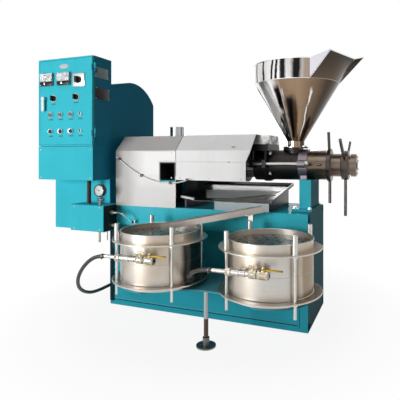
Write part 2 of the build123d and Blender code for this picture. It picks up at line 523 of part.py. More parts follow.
# Driven pulley: rim, web with round windows, and hub
with BuildPart() as driven_pulley:
    along_x(PULLEY_LEFT, PULLEY_RIGHT, DRIVEN_PULLEY_R, bore=DRIVEN_PULLEY_R - 26)
    with BuildSketch(Plane.YZ.offset((PULLEY_LEFT + PULLEY_RIGHT) / 2 - 8)):
        with Locations((0, AXIS_Z)):
            Circle(DRIVEN_PULLEY_R - 25)
            Circle(INPUT_R, mode=Mode.SUBTRACT)
            with PolarLocations(98, 6):
                Circle(32, mode=Mode.SUBTRACT)
    extrude(amount=16)
    along_x(PULLEY_LEFT + 6, PULLEY_RIGHT - 6, 42, bore=INPUT_R)
    groove_belts(AXIS_Z, DRIVEN_PULLEY_R)

# V-belts: closed loops round both pulleys
with BuildPart() as v_belts:
    for index in range(BELT_COUNT):
        belt_x = (PULLEY_LEFT + PULLEY_RIGHT) / 2 + (index - (BELT_COUNT - 1) / 2) * BELT_PITCH
        with BuildSketch(Plane.YZ.offset(belt_x - BELT_WIDTH / 2)):
            for depth, mode in ((GROOVE_DEPTH - SOFT_GAP - BELT_T, Mode.ADD), (GROOVE_DEPTH - SOFT_GAP, Mode.SUBTRACT)):
                with BuildSketch(mode=Mode.PRIVATE) as loop:
                    with Locations((0, motor_z)):
                        Circle(MOTOR_PULLEY_R - depth)
                    with Locations((0, AXIS_Z)):
                        Circle(DRIVEN_PULLEY_R - depth)
                    make_hull()
                add(loop.sketch, mode=mode)
        extrude(amount=BELT_WIDTH)

# Gearbox: closed casing on feet, bearing web and end cover
gear_centres = MODULE * (PINION_TEETH + GEAR_TEETH) / 2
lay_z = AXIS_Z - gear_centres
case_r = MODULE * (GEAR_TEETH / 2 + 1) + 17


def case_face(x, radius):
    """Upright slot-shaped outline round both shaft lines."""
    with BuildSketch(Plane.YZ.offset(x), mode=Mode.PRIVATE) as face:
        with Locations((0, (AXIS_Z + lay_z) / 2)):
            SlotCenterToCenter(gear_centres, 2 * radius, rotation=90)
    return face.sketch


with BuildPart() as gearbox_casing:
    extrude(case_face(BOX_LEFT, case_r), amount=BOX_RIGHT - BOX_WALL - BOX_LEFT)
    extrude(case_face(BOX_LEFT + BOX_WALL, case_r - BOX_WALL), amount=BOX_RIGHT - BOX_LEFT, mode=Mode.SUBTRACT)
    extrude(case_face(WEB_LEFT, case_r - BOX_WALL), amount=WEB_RIGHT - WEB_LEFT)
    along_x(BOX_LEFT, WEB_RIGHT, INPUT_R + RUN, mode=Mode.SUBTRACT)
    along_x(WEB_LEFT + 10, WEB_RIGHT, OUTPUT_R + RUN, mode=Mode.SUBTRACT)
    along_x(BOX_LEFT + 6, WEB_RIGHT, LAY_R + RUN, z=lay_z, mode=Mode.SUBTRACT)
    block(BOX_LEFT, BOX_RIGHT - BOX_WALL, -190, 190, BASE_HEIGHT, BASE_HEIGHT + BOX_FOOT)
    for rib_x in (BOX_LEFT, WEB_LEFT):
        block(rib_x, rib_x + 20, -150, 150, BASE_HEIGHT, lay_z - 40)
    extrude(case_face(BOX_LEFT + BOX_WALL, case_r - BOX_WALL), amount=WEB_LEFT - BOX_LEFT - BOX_WALL,
            mode=Mode.SUBTRACT)
    extrude(case_face(WEB_RIGHT, case_r - BOX_WALL), amount=BOX_RIGHT - WEB_RIGHT, mode=Mode.SUBTRACT)
    extrude(case_face(BOX_RIGHT - BOX_WALL, case_r + 10), amount=BOX_WALL)
    along_x(BOX_RIGHT - BOX_WALL, BOX_RIGHT, OUTPUT_R + RUN, mode=Mode.SUBTRACT)
    along_x(BOX_RIGHT - BOX_WALL, BOX_RIGHT - 6, LAY_R + RUN, z=lay_z, mode=Mode.SUBTRACT)


def gear(x0, x1, teeth, centre_z, first_tooth):
    """Spur gear with straight-flanked teeth, its first tooth at an angle from +Y."""
    pitch_r = MODULE * teeth / 2
    half = BACKLASH * math.pi * MODULE / 2
    lean = math.tan(math.radians(20))
    corners = []
    for index in range(teeth):
        middle = math.radians(first_tooth + index * 360 / teeth)
        for level, sign in ((-1.25, -1), (1, -1), (1, 1), (-1.25, 1)):
            radius = pitch_r + level * MODULE
            angle = middle + sign * (half - level * MODULE * lean) / radius
            corners.append((radius * math.cos(angle), centre_z + radius * math.sin(angle)))
    with BuildSketch(Plane.YZ.offset(x0)) as face:
        with BuildLine():
            Polyline(*corners, close=True)
        make_face()
    extrude(face.sketch, amount=x1 - x0)


# Input shaft with its pinion
with BuildPart() as input_shaft:
    along_x(PULLEY_LEFT - 4, WEB_LEFT + 9, INPUT_R)
    gear(*STAGE_ONE, PINION_TEETH, AXIS_Z, 270)

# Lay shaft with its gear and pinion
with BuildPart() as lay_gear:
    along_x(BOX_LEFT + 7, BOX_RIGHT - 7, LAY_R, z=lay_z)
    gear(*STAGE_ONE, GEAR_TEETH, lay_z, 90 + 180 / GEAR_TEETH)
    gear(*STAGE_TWO, PINION_TEETH, lay_z, 90)

# Output gear with its shaft and the spline socket that drives the screw
with BuildPart() as output_gear:
    along_x(WEB_LEFT + 11, SOCKET_LEFT, OUTPUT_R)
    gear(*STAGE_TWO, GEAR_TEETH, AXIS_Z, 270 + 180 / GEAR_TEETH)
    along_x(SOCKET_LEFT, SOCKET_RIGHT, SOCKET_R, bore=SPLINE_R + RUN)
    along_x(SOCKET_LEFT, SOCKET_LEFT + 4, SOCKET_R)

# Press screw: stepped shaft with worm flights
SCREW_LEFT = SOCKET_LEFT + 4 + ADJ_TRAVEL + 2
SCREW_RIGHT = 868
FLIGHT_R = 64.5
with BuildPart() as press_screw:
    with BuildSketch(Plane.XZ):
        with BuildLine():
            Polyline(
                (SCREW_LEFT, AXIS_Z), (SCREW_LEFT, AXIS_Z + SPLINE_R), (-264, AXIS_Z + SPLINE_R),
                (-256, AXIS_Z + 40), (-170, AXIS_Z + 58), (-150, AXIS_Z + 50), (250, AXIS_Z + 40),
                (300, AXIS_Z + 34), (560, AXIS_Z + 32), (590, AXIS_Z + 35), (SCREW_RIGHT, AXIS_Z + 35),
                (SCREW_RIGHT, AXIS_Z), close=True)
        make_face()
    revolve(axis=Axis((0, 0, AXIS_Z), (1, 0, 0)))
    for start_x, run, pitch, root_r in ((-146, 384, 64, 40), (262, 270, 90, 30)):
        with BuildLine() as flight_path:
            Helix(pitch=pitch, height=run, radius=(root_r + FLIGHT_R) / 2, center=(start_x, 0, AXIS_Z),
                  direction=(1, 0, 0))
        path_start = flight_path.line @ 0
        with BuildSketch(Plane(origin=path_start, x_dir=(0, 0, 1), z_dir=flight_path.line % 0)):
            Trapezoid(14, FLIGHT_R - root_r, 84, rotation=-90)
        sweep(path=flight_path.line, is_frenet=True)

# Cake chamber: round casting with a duct that throws the cake out at the front
with BuildPart() as cake_chamber:
    along_x(CHAMBER_LEFT, CHAMBER_RIGHT, CHAMBER_R)
    block(OUTLET_LEFT + 2, OUTLET_RIGHT - 2, GUARD_FRONT - 2, -40, OUTLET_LOW + 2, OUTLET_HIGH - 2)
    block(CHAMBER_LEFT + 20, CHAMBER_RIGHT - 20, -70, 70, BASE_HEIGHT, AXIS_Z - 60)
    block(CHAMBER_LEFT + 10, CHAMBER_RIGHT - 10, -124, 124, BASE_HEIGHT, BASE_HEIGHT + 16)
    block(-200, CHAMBER_RIGHT - 10, -122, -90, BASE_HEIGHT, OUTLET_LOW + 4)
    block(CHAMBER_RIGHT - 10, CHAMBER_RIGHT, -TIE_Y - 22, TIE_Y + 22, AXIS_Z + TIE_RISE - 22, AXIS_Z + TIE_RISE + 22)
    along_x(CHAMBER_LEFT + 15, CHAMBER_RIGHT - 10, CHAMBER_BORE_R, mode=Mode.SUBTRACT)
    along_x(CHAMBER_LEFT, CHAMBER_LEFT + 15, SPLINE_R + RUN, mode=Mode.SUBTRACT)
    along_x(CHAMBER_RIGHT - 10, CHAMBER_RIGHT, BAR_INNER_R, mode=Mode.SUBTRACT)
    block(OUTLET_LEFT + 6, OUTLET_RIGHT - 6, GUARD_FRONT - 3, -40, OUTLET_LOW + 6, OUTLET_HIGH - 6,
          mode=Mode.SUBTRACT)

# Cage bars: a barrel of steel bars with drain slots between them
with BuildPart() as cage_bars:
    with BuildSketch(Plane.YZ.offset(CAGE_LEFT)):
        with Locations((0, AXIS_Z)):
            with PolarLocations(BAR_INNER_R + BAR_DEPTH / 2, BAR_COUNT):
                Rectangle(BAR_DEPTH, BAR_WIDTH)
    extrude(amount=CAGE_RIGHT - CAGE_LEFT)

# Cage clamps: two half cradles of ribs and bolted side rails
clamp_bore = math.hypot(BAR_INNER_R + BAR_DEPTH, BAR_WIDTH / 2) + SOFT_GAP
with BuildPart() as cage_clamps:
    for start_x in CLAMP_PLACES:
        along_x(start_x, start_x + CLAMP_T, CLAMP_R, bore=clamp_bore)
    block(CLAMP_PLACES[0], CLAMP_PLACES[-1] + CLAMP_T, -RAIL_REACH, RAIL_REACH, AXIS_Z - RAIL_T, AXIS_Z + RAIL_T)
    along_x(CLAMP_PLACES[0], CLAMP_PLACES[-1] + CLAMP_T, clamp_bore, mode=Mode.SUBTRACT)
    for start_x, next_x in zip(CLAMP_PLACES, CLAMP_PLACES[1:]):
        along_x(start_x + CLAMP_T, next_x, CLAMP_R - 6, bore=clamp_bore, mode=Mode.SUBTRACT)
    split(bisect_by=Plane.XY.offset(AXIS_Z), keep=Keep.BOTH)

# End block of the cage: round barrel with a collar, tie-bar ears, and a sloping roof on studs
with BuildPart() as cage_end_block:
    along_x(CAGE_RIGHT, BLOCK_RIGHT, BLOCK_R)
    along_x(BLOCK_RIGHT - 50, BLOCK_RIGHT - 14, BLOCK_R + 7)
    for ear_x in (CAGE_RIGHT, BLOCK_RIGHT - EAR_T - 8):
        block(ear_x, ear_x + EAR_T, -TIE_Y - 22, TIE_Y + 22, AXIS_Z + TIE_RISE - 24, AXIS_Z + TIE_RISE + 24)
        for stud_y in (-STUD_Y, STUD_Y):
            along_z(AXIS_Z + TIE_RISE + 22, ROOF_LOW + 5, STUD_R, ear_x + EAR_T / 2, stud_y)
    with BuildSketch(Plane.XY.offset(ROOF_LOW)):
        with Locations(((CAGE_RIGHT + BLOCK_RIGHT) / 2, 0)):
            Rectangle(BLOCK_RIGHT - CAGE_RIGHT, 2 * TIE_Y)
    with BuildSketch(Plane.XY.offset(BLOCK_TOP)):
        with Locations(((CAGE_RIGHT + ROOF_SLANT + BLOCK_RIGHT) / 2, 0)):
            Rectangle(BLOCK_RIGHT - CAGE_RIGHT - ROOF_SLANT, ROOF_WIDTH)
    loft()
    along_x(CAGE_RIGHT, BLOCK_RIGHT, FEED_BORE_R, mode=Mode.SUBTRACT)
    for side_y in (-TIE_Y, TIE_Y):
        along_x(CAGE_RIGHT, BLOCK_RIGHT, TIE_R + SOFT_GAP, y=side_y, z=AXIS_Z + TIE_RISE, mode=Mode.SUBTRACT)

# Tie bars with their nuts, from the cake chamber to the bearing housing
TIE_LEFT, TIE_RIGHT = CHAMBER_RIGHT, HOUSING_RIGHT + 22
with BuildPart() as tie_bars:
    for side_y in (-TIE_Y, TIE_Y):
        along_x(TIE_LEFT, TIE_RIGHT, TIE_R, y=side_y, z=AXIS_Z + TIE_RISE)
        for nut_x in (CHAMBER_RIGHT, HOUSING_RIGHT):
            with BuildSketch(Plane.YZ.offset(nut_x)):
                with Locations((side_y, AXIS_Z + TIE_RISE)):
                    RegularPolygon(TIE_R + 9, 6)
            extrude(amount=18)

# Feed body: barrel with a round boss under the hopper
with BuildPart() as feed_body:
    along_x(BLOCK_RIGHT, FEED_RIGHT, FEED_R)
    along_z(AXIS_Z, NECK_LOW - 17, NECK_R + 8, HOPPER_X, 0)
    along_z(NECK_LOW - 17, NECK_LOW - 5, NECK_R + 24, HOPPER_X, 0)
    block(FEED_RIGHT, HOPPER_X + NECK_R + 30, -NECK_R - 30, NECK_R + 30, AXIS_Z, NECK_LOW, mode=Mode.SUBTRACT)
    along_z(NECK_LOW - 5, NECK_LOW, NECK_R + 24, HOPPER_X, 0)
    block(FEED_RIGHT, HOPPER_X + NECK_R + 30, -NECK_R - 30, NECK_R + 30, AXIS_Z, AXIS_Z + HOUSING_R + 1,
          mode=Mode.SUBTRACT)
    along_x(BLOCK_RIGHT, FEED_RIGHT, FEED_BORE_R, mode=Mode.SUBTRACT)
    along_z(AXIS_Z + 20, NECK_LOW, 30, HOPPER_X, 0, mode=Mode.SUBTRACT)

# Bearing housing: round flange with tie-bar ears and a foot on the column
with BuildPart() as bearing_housing:
    along_x(FEED_RIGHT, HOUSING_RIGHT, HOUSING_R)
    block(FEED_RIGHT + 10, HOUSING_RIGHT, -TIE_Y - 24, TIE_Y + 24, AXIS_Z + TIE_RISE - 22, AXIS_Z + TIE_RISE + 22)
    fillet(bearing_housing.edges().filter_by(Axis.X).group_by(Axis.Y)[0], 20)
    fillet(bearing_housing.edges().filter_by(Axis.X).group_by(Axis.Y)[-1], 20)
    block(COLUMN_LEFT, HOUSING_RIGHT, -92, 92, COLUMN_TOP, COLUMN_TOP + 24)
    along_x(FEED_RIGHT, HOUSING_RIGHT, SLEEVE_TUBE_R - 20, mode=Mode.SUBTRACT)
    for side_y in (-TIE_Y, TIE_Y):
        along_x(FEED_RIGHT, HOUSING_RIGHT, TIE_R + SOFT_GAP, y=side_y, z=AXIS_Z + TIE_RISE, mode=Mode.SUBTRACT)

# Thrust tube with its grease elbow
ELBOW_X, ELBOW_Z = 695, AXIS_Z + 3
with BuildPart() as thrust_tube:
    along_x(HOUSING_RIGHT, TUBE_RIGHT, TUBE_R, bore=SLEEVE_TUBE_R + RUN)
    chamfer(thrust_tube.edges().filter_by(GeomType.CIRCLE).sort_by(Axis.X)[-1], 1)
    along_y(-TUBE_R - 18, -TUBE_R + 8, 8, ELBOW_X, ELBOW_Z)
    along_x(ELBOW_X - 2, ELBOW_X + 22, 7, y=-TUBE_R - 16, z=ELBOW_Z)


def hand_bar(x, angle, from_r, tip_r, radius):
    """Round handle bar that stands out of a ring, at an angle from straight up towards the front."""
    turn = math.radians(angle)
    outward = Vector(0, -math.sin(turn), math.cos(turn))
    with BuildSketch(Plane(origin=Vector(x, 0, AXIS_Z) + outward * from_r, z_dir=outward)) as face:
        Circle(radius)
    extrude(face.sketch, amount=tip_r - from_r)


# Lock ring with two bars
with BuildPart() as lock_ring:
    along_x(LOCK_LEFT, LOCK_RIGHT, LOCK_R, bore=TUBE_R + RUN)
    chamfer(lock_ring.edges().filter_by(GeomType.CIRCLE).group_by(SortBy.RADIUS)[-1], 2)
    for angle, tip in ((15, 206), (180, 232)):
        hand_bar((LOCK_LEFT + LOCK_RIGHT) / 2, angle, LOCK_R - 6, tip, LOCK_BAR_R)

# Adjuster sleeve with its bearing bush and end flange
with BuildPart() as adjust_sleeve:
    along_x(665, CAP_LEFT, SLEEVE_TUBE_R, bore=45)
    along_x(665, 705, SLEEVE_TUBE_R - 20, bore=35 + RUN)
    along_x(ADJ_RIGHT + 1, CAP_LEFT, SLEEVE_TUBE_R + 1, bore=SLEEVE_TUBE_R - 9, mode=Mode.SUBTRACT)
    along_x(CAP_LEFT, CAP_RIGHT, CAP_R)
    chamfer(adjust_sleeve.edges().filter_by(GeomType.CIRCLE).sort_by(Axis.X)[-1], 4)

# Adjuster ring with three bars
with BuildPart() as adjuster_ring:
    along_x(ADJ_LEFT, ADJ_RIGHT, ADJ_R, bore=SLEEVE_TUBE_R + RUN)
    chamfer(adjuster_ring.edges().filter_by(GeomType.CIRCLE).group_by(SortBy.RADIUS)[-1], 4)
    for angle, tip in ((60, 290), (180, 306), (300, 290)):
        hand_bar((ADJ_LEFT + ADJ_RIGHT) / 2, angle, ADJ_R - 8, tip, HAND_BAR_R)

# Support column: box with a foot plate and a top plate
with BuildPart() as support_column:
    block(COLUMN_LEFT, COLUMN_RIGHT, COLUMN_FRONT, COLUMN_BACK, BASE_HEIGHT, COLUMN_TOP)
    block(COLUMN_LEFT - 40, RIGHT_END, COLUMN_FRONT - 30, COLUMN_BACK + 30, BASE_HEIGHT, BASE_HEIGHT + 14)
    along_x(COLUMN_LEFT, COLUMN_RIGHT, HOUSING_R, mode=Mode.SUBTRACT)

# Hopper: neck, cone and band, with a loading lip that opens from the round rim to a straight edge
def rim_point(angle, height):
    """Point on the middle of the band's sheet."""
    turn, radius = math.radians(angle), RIM_R - HOPPER_SHEET / 2
    return Vector(HOPPER_X + radius * math.cos(turn), radius * math.sin(turn), height)


def sheet_triangle(first, second, third, way):
    """Triangle of hopper sheet between three points, its thickness pushed along one direction."""
    along = (second - first).normalized()
    plane = Plane(origin=first, x_dir=along, z_dir=along.cross(third - first))
    corners = [plane.to_local_coords(corner) for corner in (first, second, third)]
    with BuildSketch(plane) as face:
        with BuildLine():
            Polyline(*[(corner.X, corner.Y) for corner in corners], close=True)
        make_face()
    extrude(face.sketch, amount=HOPPER_SHEET, dir=way)


lip_near, lip_far = rim_point(LIP_START, RIM_Z), rim_point(LIP_END, RIM_Z)
lip_chord = (lip_far - lip_near).normalized()
lip_out = Vector(lip_chord.Y, -lip_chord.X, 0)
tip_near = lip_near + lip_out * LIP_OUT + Vector(0, 0, LIP_RISE)
tip_far = lip_far + lip_out * LIP_OUT - lip_chord * LIP_TAPER + Vector(0, 0, LIP_RISE)

# The side sheets stand just clear of the band's cut edges and of the lip
side_lift = Vector(0, 0, HOPPER_SHEET + 1)
near_foot = lip_near + lip_chord * WELD + lip_out * 0.5 + side_lift
near_tip = tip_near + lip_chord * WELD + side_lift
ear_foot = lip_far + lip_out * 2.2 + lip_chord * SOFT_GAP
ear_tip = tip_far + lip_out * 2.2 + lip_chord * SOFT_GAP
ear_end = ear_tip + Vector(*LIP_EAR)
ear_top = Vector(ear_foot.X, ear_foot.Y, BAND_TOP)
lower_normal = (ear_tip - ear_foot).cross(ear_end - ear_foot).normalized()
upper_normal = (ear_top - ear_foot).cross(ear_end - ear_foot).normalized()
ear_way = (lower_normal + upper_normal).normalized()
LIP_INSET = 0.5
with BuildPart() as hopper:
    with BuildSketch(Plane.XZ):
        with BuildLine() as wall:
            Polyline(
                (HOPPER_X + NECK_R + 24, NECK_LOW), (HOPPER_X + NECK_R + 24, NECK_LOW + 4),
                (HOPPER_X + NECK_R, NECK_LOW + 4), (HOPPER_X + NECK_R, NECK_HIGH),
                (HOPPER_X + RIM_R, RIM_Z), (HOPPER_X + RIM_R, BAND_TOP),
                (HOPPER_X + RIM_R - HOPPER_SHEET, BAND_TOP), (HOPPER_X + RIM_R - HOPPER_SHEET, RIM_Z + 1),
                (HOPPER_X + NECK_R - HOPPER_SHEET, NECK_HIGH + 1), (HOPPER_X + NECK_R - HOPPER_SHEET, NECK_LOW),
                close=True)
        make_face()
    revolve(axis=Axis((HOPPER_X, 0, 0), (0, 0, 1)))
    with BuildSketch(Plane.XY.offset(RIM_Z)):
        with BuildLine():
            outward = lip_out * 300
            Polyline(*[(corner.X, corner.Y) for corner in (
                lip_near, lip_near + outward, lip_far + outward, lip_far)], close=True)
        make_face()
    extrude(amount=BAND_TOP - RIM_Z + 1, mode=Mode.SUBTRACT)
    with BuildSketch(Plane.XY.offset(RIM_Z + WELD)):
        with BuildLine():
            lip_arc = (LIP_START + LIP_INSET, LIP_END - LIP_START - 2 * LIP_INSET)
            outer = CenterArc((HOPPER_X, 0), RIM_R, *lip_arc)
            inner = CenterArc((HOPPER_X, 0), RIM_R - HOPPER_SHEET - 0.5, *lip_arc)
            Line(outer @ 0, inner @ 0)
            Line(outer @ 1, inner @ 1)
        make_face()
    with BuildSketch(Plane.XY.offset(RIM_Z + LIP_RISE)):
        with BuildLine():
            half = lip_out * (HOPPER_SHEET / 2)
            Polyline(*[(corner.X, corner.Y) for corner in (
                tip_near - half, tip_near + half, tip_far + half, tip_far - half)], close=True)
        make_face()
    loft(ruled=True)
    sheet_triangle(near_foot, near_tip, Vector(near_foot.X, near_foot.Y, BAND_TOP), lip_chord)
    sheet_triangle(ear_foot, ear_tip, ear_end, ear_way)
    sheet_triangle(ear_foot, ear_end, ear_top, ear_way)


def guard_section(x, low, inset):
    """Closed section of the guards: upright sides, sloping shoulders and a flat top."""
    slope = inset * math.tan(math.radians(22.5))
    side, top = -GUARD_FRONT - inset, GUARD_TOP - inset
    with BuildSketch(Plane.YZ.offset(x), mode=Mode.PRIVATE) as section:
        with BuildLine():
            Polyline(
                (-side, low), (-side, GUARD_SHOULDER - slope), (-GUARD_TOP_HALF + slope, top),
                (GUARD_TOP_HALF - slope, top), (side, GUARD_SHOULDER - slope), (side, low), close=True)
        make_face()
    return section.sketch


GUARD_SHEET = 2
# Left guard: deep cover over the gearbox, with the cake opening and the vent stub
with BuildPart() as guard_left:
    extrude(guard_section(LEFT_GUARD_START, BASE_HEIGHT, 0), amount=GUARD_SPLIT - LEFT_GUARD_START)
    extrude(guard_section(LEFT_GUARD_START + GUARD_SHEET, BASE_HEIGHT - 1, GUARD_SHEET),
            amount=GUARD_SPLIT - LEFT_GUARD_START, mode=Mode.SUBTRACT)
    along_x(LEFT_GUARD_START, LEFT_GUARD_START + GUARD_SHEET, 45, mode=Mode.SUBTRACT)
    block(OUTLET_LEFT, OUTLET_RIGHT, GUARD_FRONT - 1, GUARD_FRONT + GUARD_SHEET + 1, OUTLET_LOW, OUTLET_HIGH,
          mode=Mode.SUBTRACT)
    along_z(GUARD_TOP - GUARD_SHEET - 1, GUARD_TOP + 1, VENT_R - GUARD_SHEET, VENT_X, 0, mode=Mode.SUBTRACT)
    along_z(GUARD_TOP, VENT_TOP, VENT_R, VENT_X, 0, bore=VENT_R - GUARD_SHEET)
    for side_y in (GUARD_FRONT, -GUARD_FRONT - 20 - GUARD_SHEET):
        block(LEFT_GUARD_START + 20, GUARD_SPLIT - 20, side_y + GUARD_SHEET, side_y + GUARD_SHEET + 20,
              BASE_HEIGHT, BASE_HEIGHT + GUARD_SHEET)

# Right guard: front and back aprons on brackets that sit on the tie bars, with the lid's hinge
hinge_y = -GUARD_FRONT + HINGE_R + 1
hinge_places = (-60, 160)
with BuildPart() as guard_right:
    for side in (-1, 1):
        skin = sorted((side * -GUARD_FRONT, side * (-GUARD_FRONT - GUARD_SHEET)))
        block(GUARD_SPLIT + SOFT_GAP, RIGHT_GUARD_END, *skin, APRON_LOW, LID_SEAM)
        for bracket_x in (-100, 70, 240):
            reach = sorted((side * (TIE_Y + TIE_R + SOFT_GAP), side * (-GUARD_FRONT - GUARD_SHEET)))
            block(bracket_x, bracket_x + 25, *reach, AXIS_Z - 2, AXIS_Z + 2)
    for place in hinge_places:
        for knuckle in (place - HINGE_LENGTH / 2, place + HINGE_LENGTH):
            along_x(knuckle, knuckle + HINGE_LENGTH / 2 - SOFT_GAP, HINGE_R, y=hinge_y, z=LID_SEAM)
            block(knuckle, knuckle + HINGE_LENGTH / 2 - SOFT_GAP, -GUARD_FRONT - GUARD_SHEET, hinge_y,
                  LID_SEAM - HINGE_R, LID_SEAM - SOFT_GAP)
        along_x(place - HINGE_LENGTH / 2, place + 1.5 * HINGE_LENGTH - SOFT_GAP, HINGE_PIN_R, y=hinge_y, z=LID_SEAM)

# Hinged lid of the right guard, its right end cut back below the shoulder
with BuildPart() as guard_lid:
    extrude(guard_section(GUARD_SPLIT + SOFT_GAP, LID_SEAM + SOFT_GAP, 0), amount=LID_END - GUARD_SPLIT - SOFT_GAP)
    extrude(guard_section(GUARD_SPLIT, LID_SEAM - 1, GUARD_SHEET), amount=LID_END - GUARD_SPLIT + 1,
            mode=Mode.SUBTRACT)
    with BuildSketch(Plane.XZ.offset(-2 * -GUARD_FRONT)):
        with BuildLine():
            Polyline((RIGHT_GUARD_END, LID_SEAM - 1), (RIGHT_GUARD_END, LID_SEAM + SOFT_GAP), (LID_END, GUARD_SHOULDER),
                     (LID_END + 1, GUARD_SHOULDER), (LID_END + 1, LID_SEAM - 1), close=True)
        make_face()
    extrude(amount=-4 * GUARD_FRONT, mode=Mode.SUBTRACT)
    for place in hinge_places:
        along_x(place + SOFT_GAP, place + HINGE_LENGTH - 2 * SOFT_GAP, HINGE_R, bore=HINGE_PIN_R + RUN, y=hinge_y,
                z=LID_SEAM)
        block(place + SOFT_GAP, place + HINGE_LENGTH - 2 * SOFT_GAP, -GUARD_FRONT - GUARD_SHEET,
              hinge_y - HINGE_PIN_R - 1, LID_SEAM + SOFT_GAP, LID_SEAM + HINGE_R)

# Sensor cable on the guard front with its clips
CABLE_R = 4
cable_y = GUARD_FRONT - CABLE_R - 4
CABLE_ROUTE = [(-604, 990), (-560, 960), (-508, 925), (-456, 895), (-400, 868), (-340, 846), (-280, 832), (-219, 827),
               (-161, 829), (-106, 838), (-55, 856)]
cable_route = [(x, cable_y, z) for x, z in CABLE_ROUTE]
with BuildPart() as guard_cable:
    with BuildLine() as cable_path:
        FilletPolyline(*cable_route, radius=corner_radii(cable_route))
    with BuildSketch(Plane(origin=cable_path.line @ 0, z_dir=cable_path.line % 0)):
        Circle(CABLE_R)
    sweep(path=cable_path.line)
    for clip_x, clip_z in ((-584, 978), (-407, 871), (-194, 828), (-75, 850)):
        block(clip_x - 8, clip_x + 8, cable_y + CABLE_R - 1, GUARD_FRONT, clip_z - 9, clip_z + 9)

# Electric cabinet: open-fronted shell with the fixed lower cover
with BuildPart() as cabinet_shell:
    block(CAB_LEFT, CAB_RIGHT, CAB_FRONT + DOOR_T + SOFT_GAP, CAB_BACK, CAB_BOTTOM, CAB_TOP)
    block(CAB_LEFT + CAB_SHEET, CAB_RIGHT - CAB_SHEET, CAB_FRONT, CAB_BACK - CAB_SHEET, CAB_BOTTOM + CAB_SHEET,
          CAB_TOP - CAB_SHEET, mode=Mode.SUBTRACT)
    block(CAB_LEFT, CAB_RIGHT, CAB_FRONT, CAB_FRONT + DOOR_T + SOFT_GAP, CAB_BOTTOM, DOOR_BOTTOM - 2)
    block(CAB_LEFT + 40, CAB_RIGHT - 40, CAB_BACK, FRONT, CAB_BOTTOM + 60, CAB_BOTTOM + 200)
    block(CAB_LEFT + 40, CAB_RIGHT - 40, CAB_BACK, FRONT, CAB_TOP - 360, CAB_TOP - 220)
    for hinge_z in (1144, 1565):
        along_z(hinge_z - 30, hinge_z, HINGE_R, CAB_RIGHT + HINGE_R, CAB_FRONT + DOOR_T - HINGE_R)
        along_z(hinge_z, hinge_z + 29, HINGE_PIN_R, CAB_RIGHT + HINGE_R, CAB_FRONT + DOOR_T - HINGE_R)
        block(CAB_RIGHT - 1, CAB_RIGHT + 3, CAB_FRONT + DOOR_T - HINGE_R, CAB_FRONT + DOOR_T + 20, hinge_z - 30, hinge_z)

# Cabinet door: folded tray with hinge barrels
with BuildPart() as cabinet_door:
    block(CAB_LEFT + 1, CAB_RIGHT - 3, CAB_FRONT, CAB_FRONT + DOOR_T, DOOR_BOTTOM, CAB_TOP - 1)
    block(CAB_LEFT + 1 + CAB_SHEET, CAB_RIGHT - 3 - CAB_SHEET, CAB_FRONT + CAB_SHEET, CAB_FRONT + DOOR_T + 1,
          DOOR_BOTTOM + CAB_SHEET, CAB_TOP - 1 - CAB_SHEET, mode=Mode.SUBTRACT)
    for hinge_z in (1144, 1565):
        along_z(hinge_z + SOFT_GAP, hinge_z + 30, HINGE_R, CAB_RIGHT + HINGE_R, CAB_FRONT + DOOR_T - HINGE_R,
                bore=HINGE_PIN_R + RUN)
        block(CAB_RIGHT - 4, CAB_RIGHT + HINGE_R - HINGE_PIN_R - 1, CAB_FRONT + DOOR_T - HINGE_R - 2,
              CAB_FRONT + DOOR_T - HINGE_R + 2, hinge_z + SOFT_GAP, hinge_z + 30)

# Fixed fittings of the door: meters, plates, bezels, lamps and key switches
METERS = ((-1040, CAB_TOP - 137), (-897, CAB_TOP - 139))
METER_W, METER_H = 102, 84
KNOBS = {"left": (-985, CAB_TOP - 263), "right": (-799, CAB_TOP - 261)}
ISOLATOR = (-777, CAB_TOP - 152)
LAMP_Z, BUTTON_Z = CAB_TOP - 372, CAB_TOP - 481
LAMPS = ((-1009, LAMP_Z), (-926, LAMP_Z), (-841, LAMP_Z))
BUTTONS = {"left": (-1010, BUTTON_Z), "middle": (-926, BUTTON_Z), "right": (-840, BUTTON_Z)}
KEYS = ((-763, LAMP_Z + 1), (-763, BUTTON_Z))
HANDLE = (-1063, CAB_TOP - 263)
BEZEL_R, BEZEL_H, CAP_BORE_R = 17, 10, 12
with BuildPart() as door_fittings:
    for meter_x, meter_z in METERS:
        block(meter_x - METER_W / 2, meter_x + METER_W / 2, CAB_FRONT - 14, CAB_FRONT, meter_z - METER_H / 2,
              meter_z + METER_H / 2)
    block(ISOLATOR[0] - 48, ISOLATOR[0] + 48, CAB_FRONT - 5, CAB_FRONT, ISOLATOR[1] - 43, ISOLATOR[1] + 43)
    for knob_x, knob_z in KNOBS.values():
        along_y(CAB_FRONT - 6, CAB_FRONT, 24, knob_x, knob_z)
    for lamp_x, lamp_z in LAMPS:
        along_y(CAB_FRONT - BEZEL_H, CAB_FRONT, BEZEL_R, lamp_x, lamp_z)
        along_y(CAB_FRONT - BEZEL_H - 8, CAB_FRONT - BEZEL_H, BEZEL_R - 4, lamp_x, lamp_z)
    for button_x, button_z in BUTTONS.values():
        along_y(CAB_FRONT - BEZEL_H, CAB_FRONT, BEZEL_R, button_x, button_z, bore=CAP_BORE_R + RUN)
    for key_x, key_z in KEYS:
        along_y(CAB_FRONT - 8, CAB_FRONT, 11, key_x, key_z)
    along_y(CAB_FRONT - 8, CAB_FRONT, 13, *HANDLE)

# Isolator handle with a grip bar
with BuildPart() as isolator_knob:
    along_y(CAB_FRONT - 18, CAB_FRONT - 5 - SOFT_GAP, 22, *ISOLATOR)
    block(ISOLATOR[0] - 7, ISOLATOR[0] + 7, CAB_FRONT - 38, CAB_FRONT - 18, ISOLATOR[1] - 20, ISOLATOR[1] + 20)
    fillet(isolator_knob.edges().filter_by(Axis.Y), 3)


